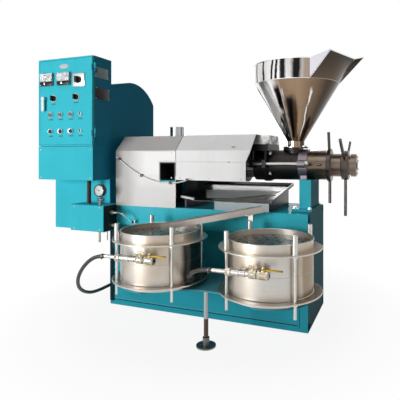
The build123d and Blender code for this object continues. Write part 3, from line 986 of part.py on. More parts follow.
def make_knob(place):
    """Rotary control: round cap with a raised grip."""
    knob_x, knob_z = place
    with BuildPart() as knob:
        along_y(CAB_FRONT - 16, CAB_FRONT - 6 - SOFT_GAP, 18, knob_x, knob_z)
        block(knob_x - 5, knob_x + 5, CAB_FRONT - 30, CAB_FRONT - 16, knob_z - 16, knob_z + 16)
    return knob


def make_button(place):
    """Push button cap that slides in its bezel."""
    with BuildPart() as button:
        along_y(CAB_FRONT - BEZEL_H - 7, CAB_FRONT - 5, CAP_BORE_R, *place)
        chamfer(button.edges().sort_by(Axis.Y)[0], 1.5)
    return button


knob_left = make_knob(KNOBS["left"])
knob_right = make_knob(KNOBS["right"])
button_left = make_button(BUTTONS["left"])
button_middle = make_button(BUTTONS["middle"])
button_right = make_button(BUTTONS["right"])

# Lock handle of the door
with BuildPart() as door_handle:
    along_y(CAB_FRONT - 22, CAB_FRONT - 8 - SOFT_GAP, 13, *HANDLE)
    block(HANDLE[0] - 10, HANDLE[0] + 10, CAB_FRONT - 22, CAB_FRONT - 12, HANDLE[1] - 84, HANDLE[1])
    fillet(door_handle.edges().filter_by(Axis.Y).group_by(Axis.Z)[0], 8)

# Oil tray: sloping sheet with walls, a spout lip, a front strip and two stands
tray_front, tray_slope = -292, (790 - 722) / 527
rear_z = TRAY_LOW + 80
front_z = rear_z - tray_slope * (TRAY_BACK - tray_front)
with BuildPart() as oil_tray:
    with BuildSketch(Plane.YZ.offset(TRAY_LEFT)):
        with BuildLine():
            Polyline((TRAY_BACK, rear_z), (tray_front, front_z), (tray_front, front_z + SHEET),
                     (TRAY_BACK - SHEET, rear_z + SHEET), (TRAY_BACK - SHEET, rear_z + 20), (TRAY_BACK, rear_z + 20),
                     close=True)
        make_face()
    extrude(amount=TRAY_RIGHT - TRAY_LEFT)
    for wall_x in (TRAY_LEFT, TRAY_RIGHT - SHEET):
        with BuildSketch(Plane.YZ.offset(wall_x)):
            with BuildLine():
                Polyline((TRAY_BACK, rear_z), (tray_front, front_z), (tray_front, front_z + 16),
                         (TRAY_BACK, rear_z + 20), close=True)
            make_face()
        extrude(amount=SHEET)
    with BuildSketch(Plane.XY.offset(front_z - 10)):
        with BuildLine():
            Polyline((TRAY_LEFT - 1, -235), (TRAY_LEFT + 130, tray_front - 1), (TRAY_LEFT - 1, tray_front - 1),
                     close=True)
        make_face()
    extrude(amount=60, mode=Mode.SUBTRACT)
    stand_high = rear_z - tray_slope * (TRAY_BACK - 60)
    for stand_x in (TRAY_LEFT + 30, TRAY_RIGHT - 40):
        with BuildSketch(Plane.YZ.offset(stand_x)):
            with BuildLine():
                Polyline((-220, BASE_HEIGHT), (210, BASE_HEIGHT), (210, rear_z - tray_slope * (TRAY_BACK - 210)),
                         (-220, rear_z - tray_slope * (TRAY_BACK + 220)), close=True)
            make_face()
        extrude(amount=10)

# Gutter: open channel from the tray to the left drum, on a bracket
low_end, high_end = Vector(*GUTTER_LOW_END), Vector(*GUTTER_HIGH_END)
gutter_way = high_end - low_end
across = Vector(-gutter_way.Y, gutter_way.X, 0).normalized()
with BuildPart() as gutter:
    with BuildSketch(Plane(origin=low_end, x_dir=across, z_dir=gutter_way)):
        with Locations((0, -GUTTER_HEIGHT / 2)):
            Rectangle(GUTTER_WIDTH, GUTTER_HEIGHT)
        with Locations((0, -GUTTER_HEIGHT / 2 + GUTTER_SHEET)):
            Rectangle(GUTTER_WIDTH - 2 * GUTTER_SHEET, GUTTER_HEIGHT, mode=Mode.SUBTRACT)
    extrude(amount=gutter_way.length)
    share = (GUTTER_BRACKET_X - low_end.X) / gutter_way.X
    under_z = (low_end + gutter_way * share).Z - GUTTER_HEIGHT + 1
    middle_y = (low_end + gutter_way * share).Y
    block(GUTTER_BRACKET_X - 15, GUTTER_BRACKET_X + 15, middle_y - 20, FRONT_SKIN, under_z - 6, under_z)
    block(GUTTER_BRACKET_X - 15, GUTTER_BRACKET_X + 15, FRONT_SKIN - 6, FRONT_SKIN, under_z - 50, under_z)

NODES = dict(
    base_frame=base_frame, base_panels=base_panels, drum_table=drum_table, table_foot=table_foot,
    drum_left=drum_left, drum_right=drum_right, drum_screens=drum_screens, drum_rods=drum_rods,
    valve_pipe_left=valve_pipe_left, valve_pipe_right=valve_pipe_right, lever_left=lever_left,
    lever_right=lever_right, wing_left=wing_left, wing_right=wing_right, hose_left=hose_left,
    hose_right=hose_right, hose_clear=hose_clear, pump_box=pump_box, vacuum_gauge=vacuum_gauge,
    pump_fittings=pump_fittings, drive_stand=drive_stand, belt_hood=belt_hood, motor=motor,
    motor_pulley=motor_pulley, driven_pulley=driven_pulley, v_belts=v_belts, gearbox_casing=gearbox_casing,
    input_shaft=input_shaft, lay_gear=lay_gear, output_gear=output_gear, press_screw=press_screw,
    cake_chamber=cake_chamber, cage_bars=cage_bars, cage_clamps=cage_clamps, cage_end_block=cage_end_block,
    tie_bars=tie_bars, feed_body=feed_body, bearing_housing=bearing_housing, thrust_tube=thrust_tube,
    lock_ring=lock_ring, adjust_sleeve=adjust_sleeve, adjuster_ring=adjuster_ring, support_column=support_column,
    hopper=hopper, guard_left=guard_left, guard_right=guard_right, guard_lid=guard_lid, guard_cable=guard_cable,
    cabinet_shell=cabinet_shell, cabinet_door=cabinet_door, door_fittings=door_fittings,
    isolator_knob=isolator_knob, knob_left=knob_left, knob_right=knob_right, button_left=button_left,
    button_middle=button_middle, button_right=button_right, door_handle=door_handle, oil_tray=oil_tray,
    gutter=gutter)

for node_name, node in NODES.items():
    node.part.label = node_name
    export_step(node.part, f"parts/{node_name}.step")
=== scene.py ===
"""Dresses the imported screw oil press: finishes, fittings, hoses, floor, light and camera."""

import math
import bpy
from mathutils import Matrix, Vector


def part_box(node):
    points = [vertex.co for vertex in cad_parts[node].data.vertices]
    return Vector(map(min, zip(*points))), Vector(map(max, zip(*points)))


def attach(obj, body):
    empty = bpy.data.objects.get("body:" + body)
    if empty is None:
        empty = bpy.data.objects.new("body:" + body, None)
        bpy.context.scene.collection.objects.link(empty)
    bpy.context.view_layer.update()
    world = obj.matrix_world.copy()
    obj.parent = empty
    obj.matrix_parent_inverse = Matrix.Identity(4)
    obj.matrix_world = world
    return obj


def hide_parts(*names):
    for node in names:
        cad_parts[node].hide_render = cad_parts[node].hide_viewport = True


bl_info = {
    "name": "Screw Oil Press Dressing",
    "version": (1, 0, 0),
    "blender": (4, 5, 0),
    "location": "View3D > Sidebar > Oil Press",
    "description": "Finishes and visible details of a screw oil press with two filter drums",
    "category": "Object",
}

import bmesh
import bpy
from bpy.props import FloatProperty, FloatVectorProperty, PointerProperty
from mathutils import Vector

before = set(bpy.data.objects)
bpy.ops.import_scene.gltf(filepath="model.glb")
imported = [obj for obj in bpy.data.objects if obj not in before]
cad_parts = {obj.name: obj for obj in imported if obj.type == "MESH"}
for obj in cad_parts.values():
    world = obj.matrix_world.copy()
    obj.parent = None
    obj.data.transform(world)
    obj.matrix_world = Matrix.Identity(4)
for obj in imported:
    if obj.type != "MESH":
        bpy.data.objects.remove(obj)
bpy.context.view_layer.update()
RIGHT, UP, FRONT = Vector((1, 0, 0)), Vector((0, 0, 1)), Vector((0, -1, 0))

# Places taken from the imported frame
DOOR_LOW, DOOR_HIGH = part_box("cabinet_door")
SHELL_LOW, SHELL_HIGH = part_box("cabinet_shell")
GAUGE_LOW, GAUGE_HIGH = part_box("vacuum_gauge")
LID_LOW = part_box("guard_lid")[0]
GUARD_LOW, GUARD_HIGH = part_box("guard_left")
APRON_LOW, APRON_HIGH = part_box("guard_right")
BASE_LOW, BASE_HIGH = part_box("base_panels")
PUMP_LOW, PUMP_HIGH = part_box("pump_box")
CAP_LOW, CAP_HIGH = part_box("adjust_sleeve")
DOOR_FACE = DOOR_LOW.y
AXIS_Z = (CAP_LOW.z + CAP_HIGH.z) / 2

# Cabinet: its right side, and the door's fittings as pairs of X and Z
CABINET_SIDE, HOOD_SIDE = -0.667, -0.682
METERS, METER_W, METER_H = ((-1.040, 1.504), (-0.897, 1.502)), 0.051, 0.042
CONTROLS, ISOLATOR, BADGE = ((-0.985, 1.378), (-0.799, 1.380)), (-0.777, 1.489), (-0.901, 1.585)
LAMPS = {"grey_lens": (-1.009, 1.269), "green_lens": (-0.926, 1.269), "dark_lens": (-0.841, 1.269)}
BUTTONS = ((-1.010, 1.160), (-0.926, 1.160), (-0.840, 1.160))
KEYS = ((-0.763, 1.270), (-0.763, 1.160))
METER_DEPTH, BEZEL_DEPTH = 0.014, 0.010
HINGE_PLACES = (1.565, 1.144)

# Drums: axes as in the part's source, wall, flanges, tie rods and sleeve nuts
DRUM_AXES = {"left": (-0.1046, -0.5384), "right": (0.5376, -0.5384)}
DRUM_WALL, DRUM_INNER, DRUM_FLANGE, DRUM_LEDGE = 0.219, 0.2175, 0.2634, 0.558
LOWER_FLANGE, UPPER_FLANGE, ROD_CIRCLE, SLEEVE_TOP = 0.3282, 0.5457, 0.240, 0.6337

# Drain pipes: height of the axis, hose tail, end, needle valve, ball valve and nozzle along X
PIPE_Y = -0.797
PIPES = {"left": dict(z=0.478, tail=-0.280, end=0.017, wing=-0.063, valve=-0.010, nozzle=-0.118),
         "right": dict(z=0.465, tail=0.333, end=0.612, wing=0.535, valve=0.583, nozzle=0.478)}

# Hopper: axis, cone, band and its lip, whose ear is folded out from the far corner
HOPPER_X, HOPPER_RIM, HOPPER_RIM_Z, HOPPER_BAND_TOP = 0.5447, 0.2653, 1.4426, 1.558
NECK_R, NECK_TOP = 0.0545, 1.090
LIP_START, LIP_END, LIP_OUT, LIP_RISE, LIP_TAPER = -60, 20, 0.135, 0.140, 0.046
LIP_EAR = Vector((0.0526, 0.0192, 0.011))
# Painted reflections round the hopper: angle and half width, and for the cone the heights they lie between
BAND_STREAKS = ((-139, 2.6), (-123, 2.2), (-108, 2.4), (-101, 2.6), (-93, 4.5), (-77, 7.5))
CONE_STREAKS = ((-150, 7, 1.1, 1.43), (-105, 6.5, 1.26, 1.42), (-88, 8, 1.09, 1.36), (-118, 3, 1.09, 1.24),
                (2, 4, 1.09, 1.44))
CONE_GLINTS = ((-128, 4), (-98, 2.5), (-54, 2.0), (8, 2.5))

# Guards: vent stub, cake opening (low and high corner in X and Z) and the outline of the seam at their joint
VENT_X, VENT_R, VENT_TALL = -0.304, 0.0509, 0.070
CAKE_LOW, CAKE_HIGH = (-0.276, 0.836), (-0.164, 0.958)
GUARD_SEAM = ((-0.2753, GUARD_LOW.z + 0.20), (-0.2753, 1.032), (-0.1771, 1.1303), (0.1771, 1.1303),
              (0.2753, 1.032), (0.2753, 0.964))

# Loose inner plate, scraper strip and cut edge on the sloping oil tray
TRAY_SLOPE, TRAY_REAR_Y, TRAY_REAR_Z = 68 / 527, 0.235, 0.792
INNER_PLATE = ((-0.088, 0.015), (0.439, 0.029), (0.393, -0.184), (0.023, -0.211))
SCRAPER = ((0.235, -0.272), (0.434, -0.134), (0.458, -0.158), (0.262, -0.288))
TRAY_CUT = ((-0.153, -0.232), (-0.027, -0.290), (-0.023, -0.280), (-0.149, -0.222))

# Cords in metres, on the same points as in the part's source
HOSES = {
    "left": dict(points=((-0.2805, -0.797, 0.478), (-0.330, -0.797, 0.4735), (-0.388, -0.792, 0.443),
                         (-0.446, -0.775, 0.394), (-0.501, -0.745, 0.337), (-0.545, -0.703, 0.280),
                         (-0.578, -0.650, 0.230), (-0.597, -0.588, 0.190), (-0.607, -0.518, 0.164),
                         (-0.611, -0.440, 0.155), (-0.606, -0.362, 0.160), (-0.606, -0.298, 0.160)),
                 radius=0.010, length=0.811),
    "right": dict(points=((0.3325, -0.797, 0.465), (0.290, -0.797, 0.463), (0.245, -0.785, 0.450),
                          (0.209, -0.759, 0.431), (0.181, -0.722, 0.410), (0.158, -0.676, 0.388),
                          (0.144, -0.638, 0.372), (0.1337, -0.6180, 0.361)),
                  radius=0.010, length=0.313),
    "clear": dict(points=((-0.569, -0.330, 0.629), (-0.548, -0.331, 0.630), (-0.522, -0.328, 0.622),
                          (-0.500, -0.322, 0.604), (-0.483, -0.311, 0.583), (-0.471, -0.292, 0.569),
                          (-0.470, -0.272, 0.566)),
                  radius=0.006, length=0.152),
}
CABLE_Y, CABLE_RADIUS = -0.283, 0.004
CABLE = ((-0.604, 0.990), (-0.560, 0.960), (-0.508, 0.925), (-0.456, 0.895), (-0.400, 0.868), (-0.340, 0.846),
         (-0.280, 0.832), (-0.219, 0.827), (-0.161, 0.829), (-0.106, 0.838), (-0.055, 0.856))
CABLE_CLIPS = ((-0.584, 0.978), (-0.407, 0.871), (-0.194, 0.828), (-0.075, 0.850))

# Conduit sleeve: its axis, lowest rib and the pitch of its ribs
SLEEVE_AXIS, SLEEVE_LOW, RIB_PITCH, RIB_COUNT = (-0.777, -0.345), 0.681, 0.0079, 20

# Stage: camera as solved from the photograph, and lamps with their places, aims and sizes
CAMERA_LENS, CAMERA_SHIFT, CAMERA_PLACE = 37.0, (-0.1071, -0.1108), (1.1438, -2.5475, 1.0)
FLOOR_REACH, FLOOR_Z = 30.0, -0.0005
LAMP_PLACES = {"key": ((-2.5, -4.7, 1.00), (-0.2, -0.3, 1.0), 2.0),
               "top": ((-0.1, -1.1, 2.9), (-0.1, -0.1, 1.0), 1.8),
               "rear": ((-1.4, 4.4, 1.7), (-0.1, 0.2, 0.9), 2.4)}


class Value:
    """A shader socket: Python operators on it add Math nodes."""

    def __init__(self, owner, socket):
        self.owner, self.socket = owner, socket

    def math(self, operation, *terms):
        return self.owner.node("ShaderNodeMath", {"operation": operation}, dict(enumerate(terms)))

    def __add__(self, other):
        return self.math("ADD", self, other)

    __radd__ = __add__

    def __sub__(self, other):
        return self.math("SUBTRACT", self, other)

    def __rsub__(self, other):
        return self.math("SUBTRACT", other, self)

    def __mul__(self, other):
        return self.math("MULTIPLY", self, other)

    __rmul__ = __mul__

    def __gt__(self, other):
        return self.math("GREATER_THAN", self, other)

    def __lt__(self, other):
        return self.math("LESS_THAN", self, other)

    def most(self, other):
        """The larger of two values."""
        return self.math("MAXIMUM", self, other)


class Nodes:
    """One node tree; node() adds any node to it."""

    def __init__(self, tree):
        self.tree = tree

    def plug(self, value, socket):
        if isinstance(value, Value):
            self.tree.links.new(value.socket, socket)
        else:
            socket.default_value = value

    def node(self, kind, settings, inputs, output=0):
        """Adds a node, sets it up, then joins its sockets."""
        made = self.tree.nodes.new(kind)
        for key, value in settings.items():
            setattr(made, key, value)
        for key, value in inputs.items():
            self.plug(value, made.inputs[key])
        return Value(self, made.outputs[output])

    def ray(self, kind):
        """1 for rays of one kind, such as Camera, Glossy or Transmission."""
        return self.node("ShaderNodeLightPath", {}, {}, f"Is {kind} Ray")


class Finish(Nodes):
    """A material with its Principled shader."""

    def __init__(self, name, colour, roughness=0.5, metallic=0.0, specular=0.5):
        self.material = bpy.data.materials.new(name)
        self.material.use_nodes = True
        super().__init__(self.material.node_tree)
        self.shader = self.tree.nodes["Principled BSDF"]
        self.material.diffuse_color = (*colour, 1)
        self.set("Base Color", (*colour, 1))
        self.set("Roughness", roughness)
        self.set("Metallic", metallic)
        self.set("Specular IOR Level", specular)
        self.place = self.node("ShaderNodeTexCoord", {}, {}, "Object")

    def set(self, socket, value):
        self.plug(value, self.shader.inputs[socket])

    def stretched(self, scale):
        """The object's own coordinates, scaled along each axis."""
        return self.node("ShaderNodeMapping", {}, {"Vector": self.place, "Scale": scale})

    def axis(self, letter):
        """One of the object's own coordinates."""
        return self.node("ShaderNodeSeparateXYZ", {}, {"Vector": self.place}, letter)

    def polar(self, centre):
        """Angle in degrees about an upright axis, and distance from it."""
        x, y = self.axis("X") - centre[0], self.axis("Y") - centre[1]
        flat = self.node("ShaderNodeCombineXYZ", {}, {"X": x, "Y": y})
        away = self.node("ShaderNodeVectorMath", {"operation": "LENGTH"}, {0: flat}, "Value")
        return y.math("ARCTAN2", y, x) * math.degrees(1), away

    def noise(self, scale, detail=3.0, roughness=0.5, vector=None):
        return self.node("ShaderNodeTexNoise", {},
                         {"Vector": vector or self.place, "Scale": scale, "Detail": detail, "Roughness": roughness})

    def band(self, value, low, high):
        """Remaps a value from low..high to 0..1 and holds it there."""
        return self.node("ShaderNodeMapRange", {}, {"Value": value, "From Min": low, "From Max": high})

    def mix(self, factor, first, second):
        """Mixes two colours."""
        return self.node("ShaderNodeMix", {"data_type": "RGBA"}, {0: factor, 6: first, 7: second}, 2)

    def made(self, colour, roughness, height=None, strength=0.0, distance=0.0, under=None):
        """The material, once what varies over its surface is joined to the shader."""
        self.set("Base Color", colour)
        self.set("Roughness", roughness)
        if height is not None:
            inputs = {"Height": height, "Strength": strength, "Distance": distance}
            if under is not None:
                inputs["Normal"] = under
            self.set("Normal", self.node("ShaderNodeBump", {}, inputs))
        return self.material


def shade(colour, *levels):
    """An RGBA colour scaled in brightness, by one level or by one for each part."""
    return (*(min(1.0, part * level) for part, level in zip(colour, levels * 3)), 1)


def enamel(name, colour, roughness=0.28, wear=0.5, coat=0.08, floor_shade=0.0, shaded_from=None):
    """Sprayed enamel on steel: soft mottling, orange peel, thin dust, worn edges, painted shade darkening towards the
    floor and painted shade on the side beyond a given X.
    """
    look = Finish(name, colour, roughness, specular=0.0)
    streak = look.noise(1.0, 5.0, 0.6, look.stretched((9, 9, 0.8)))
    tone = look.mix(look.noise(2.2, 4.0, 0.6), shade(colour, 0.86), shade(colour, 1.12))
    tone = look.mix(look.band(streak, 0.5, 0.9) * 0.25, tone, shade(colour, 0.62))
    dust = look.band(look.noise(46.0, 6.0, 0.7), 0.55, 0.85)
    tone = look.mix(dust * 0.10 * wear, tone, (0.55, 0.52, 0.46, 1))
    # Painted shade: everything beyond the given X, such as the cabinet's and hood's right sides, is darker.
    if shaded_from is not None:
        tone = look.mix(look.axis("X") > shaded_from, tone, shade(colour, 0.40, 0.50, 0.66))
    # Painted shade: the paint darkens towards the floor.
    if floor_shade:
        low = look.band(look.axis("Z") + (streak - 0.5) * 0.2, 0.66, 0.20)
        tone = look.mix(low * floor_shade, tone, shade(colour, 0.10, 0.30, 0.34))
    edge_normal = look.node("ShaderNodeBevel", {"samples": 3}, {"Radius": 0.0035})
    flat_normal = look.node("ShaderNodeNewGeometry", {}, {}, "Normal")
    turn = look.node("ShaderNodeVectorMath", {"operation": "DOT_PRODUCT"}, {0: edge_normal, 1: flat_normal}, "Value")
    edge = look.band((1 - turn) * look.noise(60.0, 4.0), 0.035, 0.12)
    look.set("Coat Weight", coat)
    look.set("Coat Roughness", 0.12)
    return look.made(look.mix(edge * 0.45 * wear, tone, shade(colour, 1.5)),
                     look.band(look.noise(7.0, 5.0), 0.2, 0.9) * 0.16 + (roughness - 0.06),
                     look.noise(240.0, 2.0), 0.05, 0.0006, edge_normal)


def guard_paint(name, colour):
    """White enamel of the left guard with painted shade, greyer towards the drive end, towards the bottom and on its
    shoulder.
    """
    look = Finish(name, colour, specular=0.2)
    x, z = look.axis("X"), look.axis("Z")
    soft = look.noise(3.0, 3.0, 0.5)
    # Painted shade: grey towards the drive end, the lower part and the shoulder.
    painted_shade = look.band(x + (soft - 0.5) * 0.15, -0.37, -0.50)
    painted_shade = painted_shade.most(look.band(z + (soft - 0.5) * 0.08, 0.90, 0.78) * 0.6)
    painted_shade = painted_shade.most(look.band(z, 1.020, 1.036) * 0.95)
    tone = look.mix(painted_shade, shade(colour, 0.86), (0.50, 0.485, 0.465, 1))
    dust = look.band(look.noise(46.0, 6.0, 0.7), 0.55, 0.85)
    look.set("Coat Weight", 0.2)
    look.set("Coat Roughness", 0.12)
    return look.made(look.mix(dust * 0.06, tone, (0.45, 0.42, 0.38, 1)), soft * 0.12 + 0.24,
                     look.noise(240.0, 2.0), 0.05, 0.0006)


def brushed(name, colour, roughness, grain, depth, stain):
    """Brushed or turned steel: fine lines along the tool's way, cloudy stains and handling marks."""
    look = Finish(name, colour, roughness, 1.0)
    lines = look.noise(1.0, 3.0, 0.7, look.stretched(grain))
    cloud = look.noise(5.5, 4.0, 0.6)
    spots = look.band(look.noise(22.0, 6.0, 0.75), 0.58, 0.75)
    tone = look.mix(lines, shade(colour, 0.80), shade(colour, 1.15))
    tone = look.mix(look.band(cloud, 0.45, 0.85) * stain, tone, shade((0.62, 0.56, 0.47), 0.8))
    return look.made(look.mix(spots * stain * 0.5, tone, shade(colour, 0.55)),
                     lines * 0.14 + look.band(cloud, 0.3, 0.8) * 0.10 + (roughness - 0.10), lines, depth, 0.0003)


def cast_metal(name, colour, rust, roughness):
    """Machined casting: grainy skin, oil film and rust blooms."""
    look = Finish(name, colour, roughness)
    skin = look.noise(95.0, 5.0, 0.7)
    bloom = look.band(look.noise(9.0, 6.0, 0.72), 0.48, 0.66)
    tone = look.mix(skin, shade(colour, 0.7), shade(colour, 1.35))
    look.set("Metallic", 0.85 - bloom * rust * 0.7)
    return look.made(look.mix(bloom * rust, tone, (0.16, 0.065, 0.022, 1)),
                     skin * 0.18 + bloom * (0.3 * rust) + (roughness - 0.12), skin, 0.35, 0.0008)


def chamber_paint(name, colour):
    """Sooty casting of the cake chamber with its front post in body paint."""
    look = Finish(name, (0.008, 0.008, 0.009), 0.6)
    skin, z = look.noise(60.0, 5.0, 0.7), look.axis("Z")
    post = (look.axis("Y") < -0.1215) * (z < 0.85) * (z > 0.672)
    soot_and_dark_reflection = look.mix(skin, (0.006, 0.006, 0.007, 1), (0.016, 0.015, 0.016, 1))
    return look.made(look.mix(post, soot_and_dark_reflection, shade(colour, 0.8)), 0.6, skin, 0.3, 0.0008)


def end_block(name):
    """Black casting whose sloping roof is worn to bare silver."""
    look = Finish(name, (0.02, 0.02, 0.022), 0.4, 0.85)
    skin = look.noise(70.0, 5.0, 0.7)
    scratch = look.noise(1.0, 4.0, 0.7, look.stretched((30, 30, 160)))
    bare = look.band(look.axis("Z") + (scratch - 0.5) * 0.02, 1.070, 1.076)
    silver = look.mix(look.band(look.noise(16.0, 5.0), 0.46, 0.6), (0.62, 0.61, 0.60, 1), (0.14, 0.14, 0.14, 1))
    black = look.mix(skin, (0.012, 0.012, 0.014, 1), (0.035, 0.033, 0.034, 1))
    return look.made(look.mix(bare, black, silver), skin * 0.2 + 0.32, skin, 0.3, 0.0008)


def worn_strip(name):
    """Scraper strip: yellowed at its left end, oily brown towards its right."""
    look = Finish(name, (0.5, 0.4, 0.2))
    stain = look.noise(30.0, 4.0)
    near = look.band(look.axis("X") + (stain - 0.5) * 0.1, 0.02, 0.22)
    return look.made(look.mix(near, (0.72, 0.56, 0.28, 1), (0.16, 0.10, 0.06, 1)), stain * 0.2 + 0.35)


def table_paint(name, colour):
    """Bluish table plate on a leg of bare steel that is brown at its thread."""
    look = Finish(name, colour, specular=0.1)
    z, soft = look.axis("Z"), look.noise(6.0, 4.0)
    is_leg = z < 0.2895
    thread = look.band(z + (soft - 0.5) * 0.02, 0.150, 0.146)
    look.set("Metallic", is_leg * 0.9)
    return look.made(look.mix(is_leg, look.mix(soft, shade(colour, 0.8), shade(colour, 1.15)),
                              look.mix(thread, (0.36, 0.37, 0.37, 1), (0.085, 0.060, 0.045, 1))),
                     soft * 0.2 + 0.28, look.noise(120.0, 3.0), 0.1, 0.0005)


def drum_wall(name, colour, centre, dark_from, dark):
    """Rolled drum wall: fine rolling lines, warm tan clouds, a dark side turned to the other drum as painted reflection
    with a painted glint in it, and painted shade on the inner face below the ledge.
    """
    look = Finish(name, colour, metallic=1.0)
    angle, away = look.polar(centre)
    angle, z = angle + (look.noise(5.0, 3.0) - 0.5) * 8, look.axis("Z")
    lines = look.noise(1.0, 3.0, 0.7, look.stretched((3, 3, 420)))
    cloud = look.noise(4.5, 4.0, 0.6)
    tone = look.mix(lines, shade(colour, 0.84), shade(colour, 1.12))
    tone = look.mix(look.band(cloud, 0.38, 0.62) * 0.75, tone, (0.50, 0.40, 0.29, 1))
    # Painted reflection: a dark side round the drum, broken by a painted bright glint, below the upper flange.
    side = look.band(angle, dark_from, dark_from + 9) * look.band(angle, dark_from + 90, dark_from + 70)
    glint = look.band(angle, dark_from + 11, dark_from + 14) * look.band(angle, dark_from + 21, dark_from + 18)
    tone = look.mix((side - glint * 0.6).most(0.0) * (z < UPPER_FLANGE - 0.0007), tone, dark)
    # Painted shade: the inner face below the ledge is near black.
    inside = (away < DRUM_INNER) * (z < DRUM_LEDGE)
    return look.made(look.mix(inside, tone, (0.030, 0.024, 0.020, 1)),
                     lines * 0.12 + look.band(cloud, 0.3, 0.8) * 0.10 + 0.27, lines, 0.2, 0.0003)


def wall_streaks(name, colour, centre):
    """Rolled stainless tube with painted reflections: soft dark and light upright streaks round its axis."""
    look = Finish(name, colour, 0.2, 1.0)
    # Painted reflection: bars of dark and light round the axis.
    bars = look.node("ShaderNodeTexNoise", {"noise_dimensions": "1D"},
                     {"W": look.polar(centre)[0] * math.radians(3.2), "Detail": 2.0})
    fine = look.noise(1.0, 4.0, 0.6, look.stretched((60, 60, 3)))
    tone = look.mix(look.band(bars, 0.42, 0.58), shade(colour, 0.22), shade(colour, 1.1))
    return look.made(look.mix(fine * 0.4, tone, shade(colour, 0.7)), fine * 0.1 + 0.14)


def moulded(name, colour, roughness):
    """Moulded plastic or rubber with a fine skin."""
    look = Finish(name, colour, roughness, specular=0.2)
    skin, cloud = look.noise(300.0, 3.0, 0.6), look.noise(14.0, 3.0)
    return look.made(look.mix(cloud, shade(colour, 0.82), shade(colour, 1.2)),
                     skin * 0.12 + cloud * 0.08 + (roughness - 0.08), skin, 0.12, 0.0004)


def braided(name, colour, roughness):
    """Black hose: ribbed by its inner spiral, with a dusty bloom."""
    look = Finish(name, colour, roughness)
    dust = look.band(look.noise(30.0, 5.0, 0.7), 0.5, 0.8)
    return look.made(look.mix(dust * 0.4, shade(colour, 1.0), (0.14, 0.13, 0.12, 1)), dust * 0.25 + roughness,
                     look.noise(160.0, 4.0), 0.25, 0.0006)


def clear_glass(name):
    """Clear cover: glass or hose that lets light through."""
    colour = (0.9, 0.95, 0.96)
    look = Finish(name, colour)
    smear = look.noise(18.0, 4.0)
    look.set("Transmission Weight", 0.85)
    look.set("IOR", 1.3)
    return look.made(look.mix(smear, shade(colour, 0.93), shade(colour, 1.0)), smear * 0.12 + 0.04)


def perforated(name, colour, spacing):
    """Filter mesh: rows of small dark holes in steel, wet with oil."""
    look = Finish(name, colour, specular=0.2)
    cells = look.node("ShaderNodeTexVoronoi", {"voronoi_dimensions": "2D"},
                      {"Vector": look.place, "Scale": 1 / spacing, "Randomness": 0.08}, "Distance")
    hole, wet = look.band(cells, 0.34, 0.24), look.noise(6.0, 4.0)
    look.set("Metallic", 1 - hole * 0.9)
    return look.made(look.mix(hole, look.mix(wet, shade(colour, 0.6), shade(colour, 1.1)), (0.012, 0.010, 0.008, 1)),
                     wet * 0.2 + 0.2, 1 - hole, 0.6, 0.0015)


def lip_corners():
    """The lip's two corners on the rim, the way along its edge and the way out."""
    near, far = (Vector((HOPPER_X + HOPPER_RIM * math.cos(math.radians(angle)),
                         HOPPER_RIM * math.sin(math.radians(angle)), HOPPER_RIM_Z)) for angle in (LIP_START, LIP_END))
    chord = (far - near).normalized()
    return near, far, chord, Vector((chord.y, -chord.x, 0))


def mirror_sheet(name, colour):
    """Polished hopper sheet with painted reflections: bright band with dark upright streaks, a warm brown cone, and a
    lip in painted shade with highlit edges.
    """
    look = Finish(name, colour, metallic=1.0)
    x, y, z = (look.axis(letter) for letter in "XYZ")
    angle, away = look.polar((HOPPER_X, 0))
    sway = angle + (look.noise(9.0, 3.0) - 0.5) * 9

    def streak(centre, width, low=0.0, high=2.0):
        """1 on an upright streak at an angle round the hopper, between two heights, with soft sides."""
        off = sway - centre
        return (look.band(off.math("ABSOLUTE", off), width, width * 0.45)
                * look.band(z, low, low + 0.03) * look.band(z, high, high - 0.03))

    # Painted reflections: dark streaks on the bright band, brown tones and dark streaks on the cone, and bright glints.
    bright, soot_and_dark_reflection = shade(colour, 1.0), (0.018, 0.016, 0.018, 1)
    fine = look.noise(1.0, 4.0, 0.6, look.stretched((14, 14, 2.0)))
    band = look.mix(look.band(fine, 0.45, 0.75), bright, shade(colour, 0.72))
    band = look.mix(look.band(sway, -76, -66), band, (0.42, 0.33, 0.27, 1))
    for place in BAND_STREAKS:
        band = look.mix(streak(*place), band, soot_and_dark_reflection)
    cone = look.mix(look.band(sway, -112, -98), bright, (0.34, 0.23, 0.15, 1))
    cone = look.mix(look.band(sway, -74, -30), cone, (0.060, 0.043, 0.032, 1))
    cone = look.mix(look.band(fine, 0.5, 0.8) * 0.5, cone, (0.12, 0.085, 0.06, 1))
    for place in CONE_STREAKS:
        cone = look.mix(streak(*place), cone, soot_and_dark_reflection)
    for place in CONE_GLINTS:
        cone = look.mix(streak(*place, 1.0, 1.40) * 0.8, cone, bright)
    near, far, chord, _ = lip_corners()
    along = (x - near.x) * chord.x + (y - near.y) * chord.y
    # Painted shade on the lip, with a painted highlight along its near edge and a lighter far edge.
    lip = look.mix(look.band(z, HOPPER_RIM_Z, HOPPER_RIM_Z + LIP_RISE), (0.11, 0.080, 0.060, 1),
                   (0.030, 0.025, 0.018, 1))
    lip = look.mix(along < 0.0035, lip, (0.80, 0.78, 0.84, 1))
    lip = look.mix(along > (far - near).length - 0.004, lip, (0.42, 0.41, 0.40, 1))
    above = z > HOPPER_RIM_Z
    tone = look.mix((away > HOPPER_RIM + 0.0012) * above, look.mix(above, cone, band), lip)
    return look.made(tone, fine * 0.10 + 0.10, look.noise(3.0, 3.0), 0.10, 0.01)


